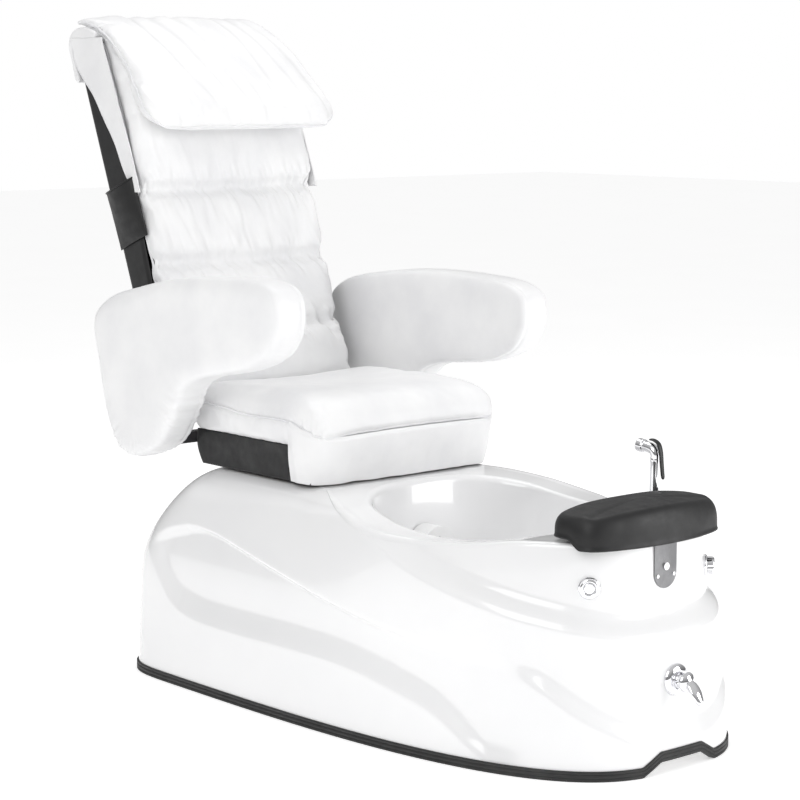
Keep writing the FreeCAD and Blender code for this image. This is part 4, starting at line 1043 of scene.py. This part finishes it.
PILLOW_FRONT = [(652, 1179), (664, 1220), (728, 1286), (826, 1366), (916, 1416), (978, 1426), (1003, 1408)]
PILLOW_BACK = [(696, 1177), (746, 1214), (800, 1290), (846, 1348), (900, 1396), (950, 1404), (990, 1400)]


def make_pillow():
    """Padded flap over the head of the back, with rounded lower corners and piping in its seam."""
    columns, rows = 90, 70
    front = spline_path(PILLOW_FRONT, rows)
    back = spline_path(PILLOW_BACK, rows)
    seam_line = front * 0.62 + back * 0.38
    length = float(np.sum(np.linalg.norm(np.diff(seam_line, axis=0), axis=1)))
    half_width = 262.0

    def plan(u, v):
        """Place on the flap's plan, squeezed so that the lower corners are round."""
        corner = 62.0
        low = v * length
        shrink = 0.0
        if low < corner:
            shrink = corner - math.sqrt(max(corner ** 2 - (corner - low) ** 2, 0.0))
        return u * (half_width - 15.0 * smooth_step(0.1, 0.7, v) - shrink)

    points = []
    for line in (front, back):
        for row in range(rows):
            v = row / (rows - 1)
            for column in range(columns):
                u = -1 + 2 * column / (columns - 1)
                border = min(1 - abs(u), 1.0)
                rise = (1 - (1 - min(border * half_width / 60.0, 1.0)) ** 2.4)
                rise *= (1 - (1 - min(v * length / 55.0, 1.0)) ** 2.4)
                rise *= (1 - (1 - min((1 - v) * length / 45.0, 1.0)) ** 2.4)
                place = seam_line[row] + (line[row] - seam_line[row]) * rise
                points.append((plan(u, v), place[0], place[1]))
    faces = grid_faces(rows, columns, False)
    faces += [face[::-1] for face in grid_faces(rows, columns, False, rows * columns)]
    size = rows * columns
    border = ([column for column in range(columns)]
              + [row * columns + columns - 1 for row in range(1, rows)]
              + [(rows - 1) * columns + column for column in range(columns - 2, -1, -1)]
              + [row * columns for row in range(rows - 2, 0, -1)])
    seam = np.array([points[index] for index in border])
    faces += [(border[i], border[(i + 1) % len(border)], border[(i + 1) % len(border)] + size,
               border[i] + size)
              for i in range(len(border))]
    made = add_mesh("head_pillow_cover", points, faces, WHITE_LEATHER)
    remesh(made, 5.0)
    puff(made, 8.0, 3.0, 0.03)
    relax(made, 3)
    subdivide(made)
    spots = design(made)
    x, _, z = spots.T
    height = (z - 1190) / 240.0
    samples = np.column_stack([x + 60 * height, 0 * x, z])
    folds = wander(samples, (38, 1, 210), 60.0)
    lower = smooth_step(1330, 1210, z)
    tucks = wander(np.column_stack([x + 0.3 * z, 0 * x, z]), (17, 1, 60), 61.0)
    press(made, 7.4 * np.maximum(folds, -0.3) * smooth_step(1183, 1220, z)
          + 3.6 * lower * np.maximum(tucks, -0.3) * smooth_step(1178, 1194, z) + 2.2 * wander(spots, 80,
                                                                                              62.0))
    seam = even_points(seam, 520, closed=True)
    seam = snap_path(np.vstack([seam, seam[:1]]), made)[:-1]
    seam_groove(made, seam, 2.6, 6.0)
    seam = snap_path(np.vstack([seam, seam[:1]]), made, 0.8)[:-1]
    cord = tube_along("head_pillow_piping", seam, 2.8, PIPING, closed=True)
    declare_soft(made, "backrest", "head_pillow")
    trim_piece(cord, "backrest")


# ---- fittings ------------------------------------------------------------------------------------
SWITCH_X, SWITCH_Z = 159.0, 356.0


def front_wall(x, z):
    """Point and outward direction of the front wall at an x and a height."""
    stations = np.linspace(0, 600, 3001)
    line = skin(stations, z)
    index = int(np.argmin(np.abs(line[:, 0] - abs(x))))
    run = line[min(index + 30, 3000)] - line[max(index - 30, 0)]
    run /= np.linalg.norm(run)
    sign = 1.0 if x >= 0 else -1.0
    return line[index] * np.array([sign, 1, 1]), np.array([sign * run[1], -run[0], 0.0])


def make_switch_bezel():
    """Stepped chrome ring round the air switch, over its plain flange."""
    point, out = front_wall(-SWITCH_X, SWITCH_Z)
    ring = turned("air_switch_ring", [(-2, 12.0), (-2, 20.5), (1.5, 21.2), (3.0, 20.6), (4.2, 18.2), (5.4,
                                                                                                      17.6),
                                      (6.6, 16.0), (7.2, 13.4), (6.6, 12.2), (2.0, 12.0)], CHROME, point, out)
    trim_piece(ring, "base")
    point, out = front_wall(SWITCH_X, SWITCH_Z)
    ring = turned("drain_knob_ring", [(-2, 12.0), (-2, 20.5), (1.5, 21.2), (3.0, 20.6), (4.6, 18.6), (5.2,
                                                                                                      16.0),
                                      (5.2, 12.2), (2.0, 12.0)], CHROME, point, out)
    trim_piece(ring, "base")


def make_mixer_lever():
    """Domed hub and teardrop lever in one smooth chrome casting."""
    hinge_y = (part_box("mixer_collar")[0][1] * 1000 + ORIGIN_Y) + 5.0
    hinge = np.array([0.0, hinge_y, 170.0])
    plate_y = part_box("mixer_plate")[1][1] * 1000 + ORIGIN_Y
    plate = turned("mixer_escutcheon", [(-4, 30.5), (0.5, 31.2), (2.5, 31.0), (5.5, 28.8), (8.0, 24.4),
                                        (9.5, 19.5),
                                        (10.0, 15.6), (4.0, 15.4)], CHROME, (0, plate_y, 170.0), (0, -1, 0),
                                        72)
    stand_for(plate, "base", "mixer_plate")
    dome = turned("mixer_dome", [(10.0, 0.5), (10.0, 20.2), (12.5, 20.0), (16.0, 17.4), (19.2, 12.6), (21.4,
                                                                                                       7.0),
                                 (22.4, 2.0), (22.5, 0.2)], CHROME, hinge, (0, -1, 0), 64)
    stand_for(dome, "mixer_lever", "mixer_lever")
    line = spline_path([(0, -14, -1), (0, -24, -6), (0, -34, -16), (0, -42, -28), (0, -48, -38)], 48)
    line = line + hinge
    share = np.linspace(0, 1, 48)
    wide = 11.5 + 3.2 * np.sin(np.pi * share ** 0.9) - 5.5 * share ** 3
    past = np.clip((share - 0.86) / 0.14, 0, 1)
    end = np.sqrt(np.maximum(1 - past ** 2, 0.0))
    rings, faces = swept(line, wide * end, np.maximum((9.0 - 3.0 * share) * end, 0.02), 32)
    grip = add_mesh("mixer_grip", rings, faces, CHROME)
    trim_piece(grip, "mixer_lever")


def make_sprayer():
    """Flared chrome hand piece with a bent neck, a nozzle and a black thumb lever."""
    low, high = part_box("sprayer_socket")
    centre = (np.array(low) + np.array(high)) * 500.0
    x, y = centre[0], centre[1] + ORIGIN_Y
    foot = high[2] * 1000.0
    stem = turned("sprayer_stem", [(-46, 7.9), (-0.5, 7.9), (0.3, 12.2), (1.5, 13.0), (7.0, 13.0), (8.6,
                                                                                                    12.2),
                                   (14, 11.2), (40, 10.0), (80, 9.2), (104, 9.0), (108, 9.8), (113, 9.8),
                                   (116, 9.0)],
                  CHROME, (x, y, foot), (0, 0, 1))
    stand_for(stem, "sprayer", "sprayer_body")
    path = spline_path([(x, y, foot + 108), (x, y, foot + 122), (x, y + 6, foot + 131), (x, y + 18,
                                                                                         foot + 134),
                        (x, y + 32, foot + 135), (x, y + 42, foot + 136)], 60)
    share = np.linspace(0, 1, 60)
    radius = 9.3 + 1.4 * smooth_step(0.15, 0.5, share) + 2.6 * smooth_step(0.72, 0.8, share)
    neck = tube_along("sprayer_neck", path, radius, CHROME, 32)
    trim_piece(neck, "sprayer")
    tip = path[-1]
    face = turned("sprayer_nozzle", [(-3, 9.0), (1.0, 9.6), (2.2, 8.8), (1.2, 8.2), (1.0, 0.2)],
                  BLACK_SHELL, tip,
                  (0, 1, 0.05), 32)
    trim_piece(face, "sprayer")
    line = spline_path([(x, y + 14, foot + 149.8), (x, y + 2, foot + 149.3), (x, y - 9.5, foot + 143),
                        (x, y - 15.5, foot + 128), (x, y - 18, foot + 108), (x, y - 21, foot + 84),
                        (x, y - 23, foot + 74)], 60)
    share = np.arange(60) / 59
    tip_past, root_past = np.clip((share - 0.92) / 0.08, 0, 1), np.clip((0.06 - share) / 0.06, 0, 1)
    end = np.sqrt(np.maximum(1 - tip_past ** 2, 0.0)) * np.sqrt(np.maximum(1 - root_past ** 2, 0.0))
    end = np.maximum(end, 0.02)
    rings, faces = swept(line, (6.6 - 1.6 * share) * end, 2.3 * end, 20)
    lever = add_mesh("sprayer_thumb_lever", rings, faces, BLACK_SHELL)
    stand_for(lever, "sprayer_lever", "sprayer_lever")


def make_footrest():
    """Moulded foam saddle: rounded top, longer front lip, thin flash line round its lower edge."""
    outline = [(-188, -545), (-174, -592), (-100, -621), (0, -631), (100, -621), (174, -592), (188, -545),
               (180, -500), (120, -483), (0, -487), (-120, -483), (-180, -500)]
    loop = spline_loop(outline, 220)
    ahead = np.roll(loop, -2, axis=0) - np.roll(loop, 2, axis=0)
    ahead /= np.linalg.norm(ahead, axis=1)[:, None]
    inward = np.stack([-ahead[:, 1], ahead[:, 0]], axis=1)
    area = np.sum(loop[:, 0] * np.roll(loop[:, 1], -1) - np.roll(loop[:, 0], -1) * loop[:, 1])
    if area < 0:
        inward = -inward
    front = smooth_step(-560, -600, loop[:, 1])
    skirt = 446.0 - 18.0 * smooth_step(-540, -572, loop[:, 1])
    rows = []
    profile = [(7, 0.0), (1.5, 0.0), (0.0, 1.2), (0.0, 4.0), (1.0, 5.2), (1.2, 12.0)]
    for inset, rise in profile:
        ring = loop + inward * inset
        rows.append(np.column_stack([ring, skirt + rise]))
    for turn in np.linspace(0, math.pi / 2, 14):
        inset = 1.2 + 21.0 * (1 - math.cos(turn))
        ring = loop + inward * inset
        shoulder = skirt + 12.0
        crown = 487.0 + 17.0 * (1 - (ring[:, 0] / 200.0) ** 2) - 5.0 * front
        height = shoulder + (crown - shoulder) * math.sin(turn) ** 0.8
        rows.append(np.column_stack([ring, height]))
    base = rows[-1]
    middle = np.array([0.0, -548.0])
    for share in (0.82, 0.62, 0.42, 0.22, 0.06):
        ring = middle + (base[:, :2] - middle) * share
        crown = 487.0 + 17.0 * (1 - (ring[:, 0] / 200.0) ** 2) - 5.0 * front * share
        rows.append(np.column_stack([ring, crown]))
    count = len(loop)
    points = list(np.vstack(rows))
    faces = grid_faces(len(rows), count)
    top = len(points)
    points.append(np.array([0.0, -548.0, 504.0]))
    last = (len(rows) - 1) * count
    faces += [(last + column, last + (column + 1) % count, top) for column in range(count)]
    faces.append(list(range(count))[::-1])
    made = add_mesh("footrest_saddle", points, faces, FOAM_SKIN)
    stand_for(made, "base", "footrest_pad")


def make_pocket():
    """Black vinyl handset pocket, sagging a little, with a bound mouth."""
    def on_back(up, forward, x):
        lean_up = np.array([0.0, math.sin(LEAN), math.cos(LEAN)])
        lean_forward = np.array([0.0, -math.cos(LEAN), math.sin(LEAN)])
        return np.array([x, 705.0, 600.0]) + lean_up * up + lean_forward * forward
    rows, columns = 40, 60
    outer = []
    for row in range(rows):
        share = row / (rows - 1)
        up = 330 + 136 * share
        gape = 4.0 + 20.0 * share ** 0.8
        for column in range(columns):
            across = column / (columns - 1)
            forward = 4 + 112 * across
            bulge = math.sin(math.pi * across) ** 0.6
            x = -246.6 - gape * bulge
            sag = -9.0 * bulge * share
            spot = on_back(up + sag, forward, x)
            spot[0] -= 1.2 * noise.noise(Vector((up / 22, forward / 34, 3.3))) * bulge
            outer.append(spot)
    made = add_mesh("handset_pocket_cover", outer, grid_faces(rows, columns, False), BLACK_VINYL)
    thick = made.modifiers.new("thickness", "SOLIDIFY")
    thick.thickness = 0.0022
    apply_modifiers(made)
    stand_for(made, "backrest", "handset_pocket")
    mouth = [outer[(rows - 1) * columns + column] + np.array([-0.6, 0, 0]) for column in range(columns)]
    cord = tube_along("handset_pocket_binding", mouth, 2.0, BLACK_VINYL)
    trim_piece(cord, "backrest")


def dress_nodes():
    """Every CAD node that stays in view gets its slot's material."""
    for part in frame["record"]["subparts"]:
        node = frame["nodes"][part["node"]]
        node.data.materials.clear()
        node.data.materials.append(SLOT_LOOKS[part["material_slot"]])


# ---- studio --------------------------------------------------------------------------------------
SKY_LOW, SKY_HIGH = 0.13, 0.62         # soft light from the horizon and from overhead
BACKDROP = 1.0                         # brightness of the plain background
CAMERA_TARGET = Vector((0.0, 0.0, 0.618))
CAMERA_DISTANCE = 4.867
CAMERA_AZIMUTH = math.radians(-40.81)
CAMERA_HEIGHT_ANGLE = math.radians(7.9)


def make_studio():
    scene = bpy.context.scene
    camera = bpy.data.cameras.new("camera")
    camera.lens = 103.5
    camera.sensor_width = 36.0
    eye = bpy.data.objects.new("camera", camera)
    scene.collection.objects.link(eye)
    flat = math.cos(CAMERA_HEIGHT_ANGLE)
    away = Vector((math.sin(CAMERA_AZIMUTH) * flat, -math.cos(CAMERA_AZIMUTH) * flat,
                   math.sin(CAMERA_HEIGHT_ANGLE)))
    eye.location = CAMERA_TARGET + away * CAMERA_DISTANCE
    eye.rotation_euler = (CAMERA_TARGET - eye.location).to_track_quat("-Z", "Y").to_euler()
    scene.camera = eye

    size = 40.0
    bpy.ops.mesh.primitive_plane_add(size=size, location=(0, 0, 0))
    floor = bpy.context.object
    floor.name = "floor"
    look = Look("pale floor", (0.93, 0.93, 0.93), 0.6)
    look.vary_colour(look.noise(2.0, 2.0), (0.92, 0.92, 0.92), (0.94, 0.94, 0.94))
    look.shader.inputs["Emission Color"].default_value = (1.0, 1.0, 1.0, 1)
    look.shader.inputs["Emission Strength"].default_value = 0.46
    floor.data.materials.append(look.material)

    world = bpy.data.worlds.new("studio")
    scene.world = world
    world.use_nodes = True
    tree = world.node_tree
    background = next(node for node in tree.nodes if node.type == "BACKGROUND")
    background.inputs["Color"].default_value = (1.0, 1.0, 1.0, 1)
    place = tree.nodes.new("ShaderNodeTexCoord")
    split = tree.nodes.new("ShaderNodeSeparateXYZ")
    sky = tree.nodes.new("ShaderNodeMapRange")
    rays = tree.nodes.new("ShaderNodeLightPath")
    seen = tree.nodes.new("ShaderNodeMix")
    tree.links.new(place.outputs["Generated"], split.inputs["Vector"])
    tree.links.new(split.outputs["Z"], sky.inputs["Value"])
    sky.inputs["From Min"].default_value = -0.05
    sky.inputs["From Max"].default_value = 0.7
    sky.inputs["To Min"].default_value = SKY_LOW
    sky.inputs["To Max"].default_value = SKY_HIGH
    tree.links.new(rays.outputs["Is Camera Ray"], seen.inputs["Factor"])
    tree.links.new(sky.outputs["Result"], seen.inputs["A"])
    seen.inputs["B"].default_value = BACKDROP
    tree.links.new(seen.outputs["Result"], background.inputs["Strength"])
    for name, place, width, height, power in (("key", (-3.4, -1.6, 3.0), 2.4, 3.0, 62.0),
                                              ("fill", (2.4, -4.2, 1.6), 2.2, 2.6, 92.0),
                                              ("top", (0.4, 0.9, 4.0), 2.4, 2.0, 38.0)):
        lamp = bpy.data.lights.new(name, "AREA")
        lamp.shape = "RECTANGLE"
        lamp.size = width
        lamp.size_y = height
        lamp.energy = power
        held = bpy.data.objects.new(name, lamp)
        held.location = place
        held.rotation_euler = (Vector((0, 0, 0.6)) - held.location).to_track_quat("-Z", "Y").to_euler()
        scene.collection.objects.link(held)
    scene.view_settings.view_transform = "Standard"


# ---- build ---------------------------------------------------------------------------------------
make_studio()
dress_nodes()
make_base_skin()
make_trim()
cushion = make_seat_cushion()
make_apron()
make_skirt()
left_arm = make_armrest()
right_arm = mirrored(left_arm, "right_armrest_cover")
raise_front(right_arm, RIGHT_ARM_RAISED)
declare_soft(left_arm, "left_armrest", "left_armrest_pad")
declare_soft(right_arm, "right_armrest", "right_armrest_pad")
make_back_pad()
make_wings()
make_hood()
make_pillow()
make_footrest()
make_switch_bezel()
make_mixer_lever()
make_sprayer()
make_pocket()
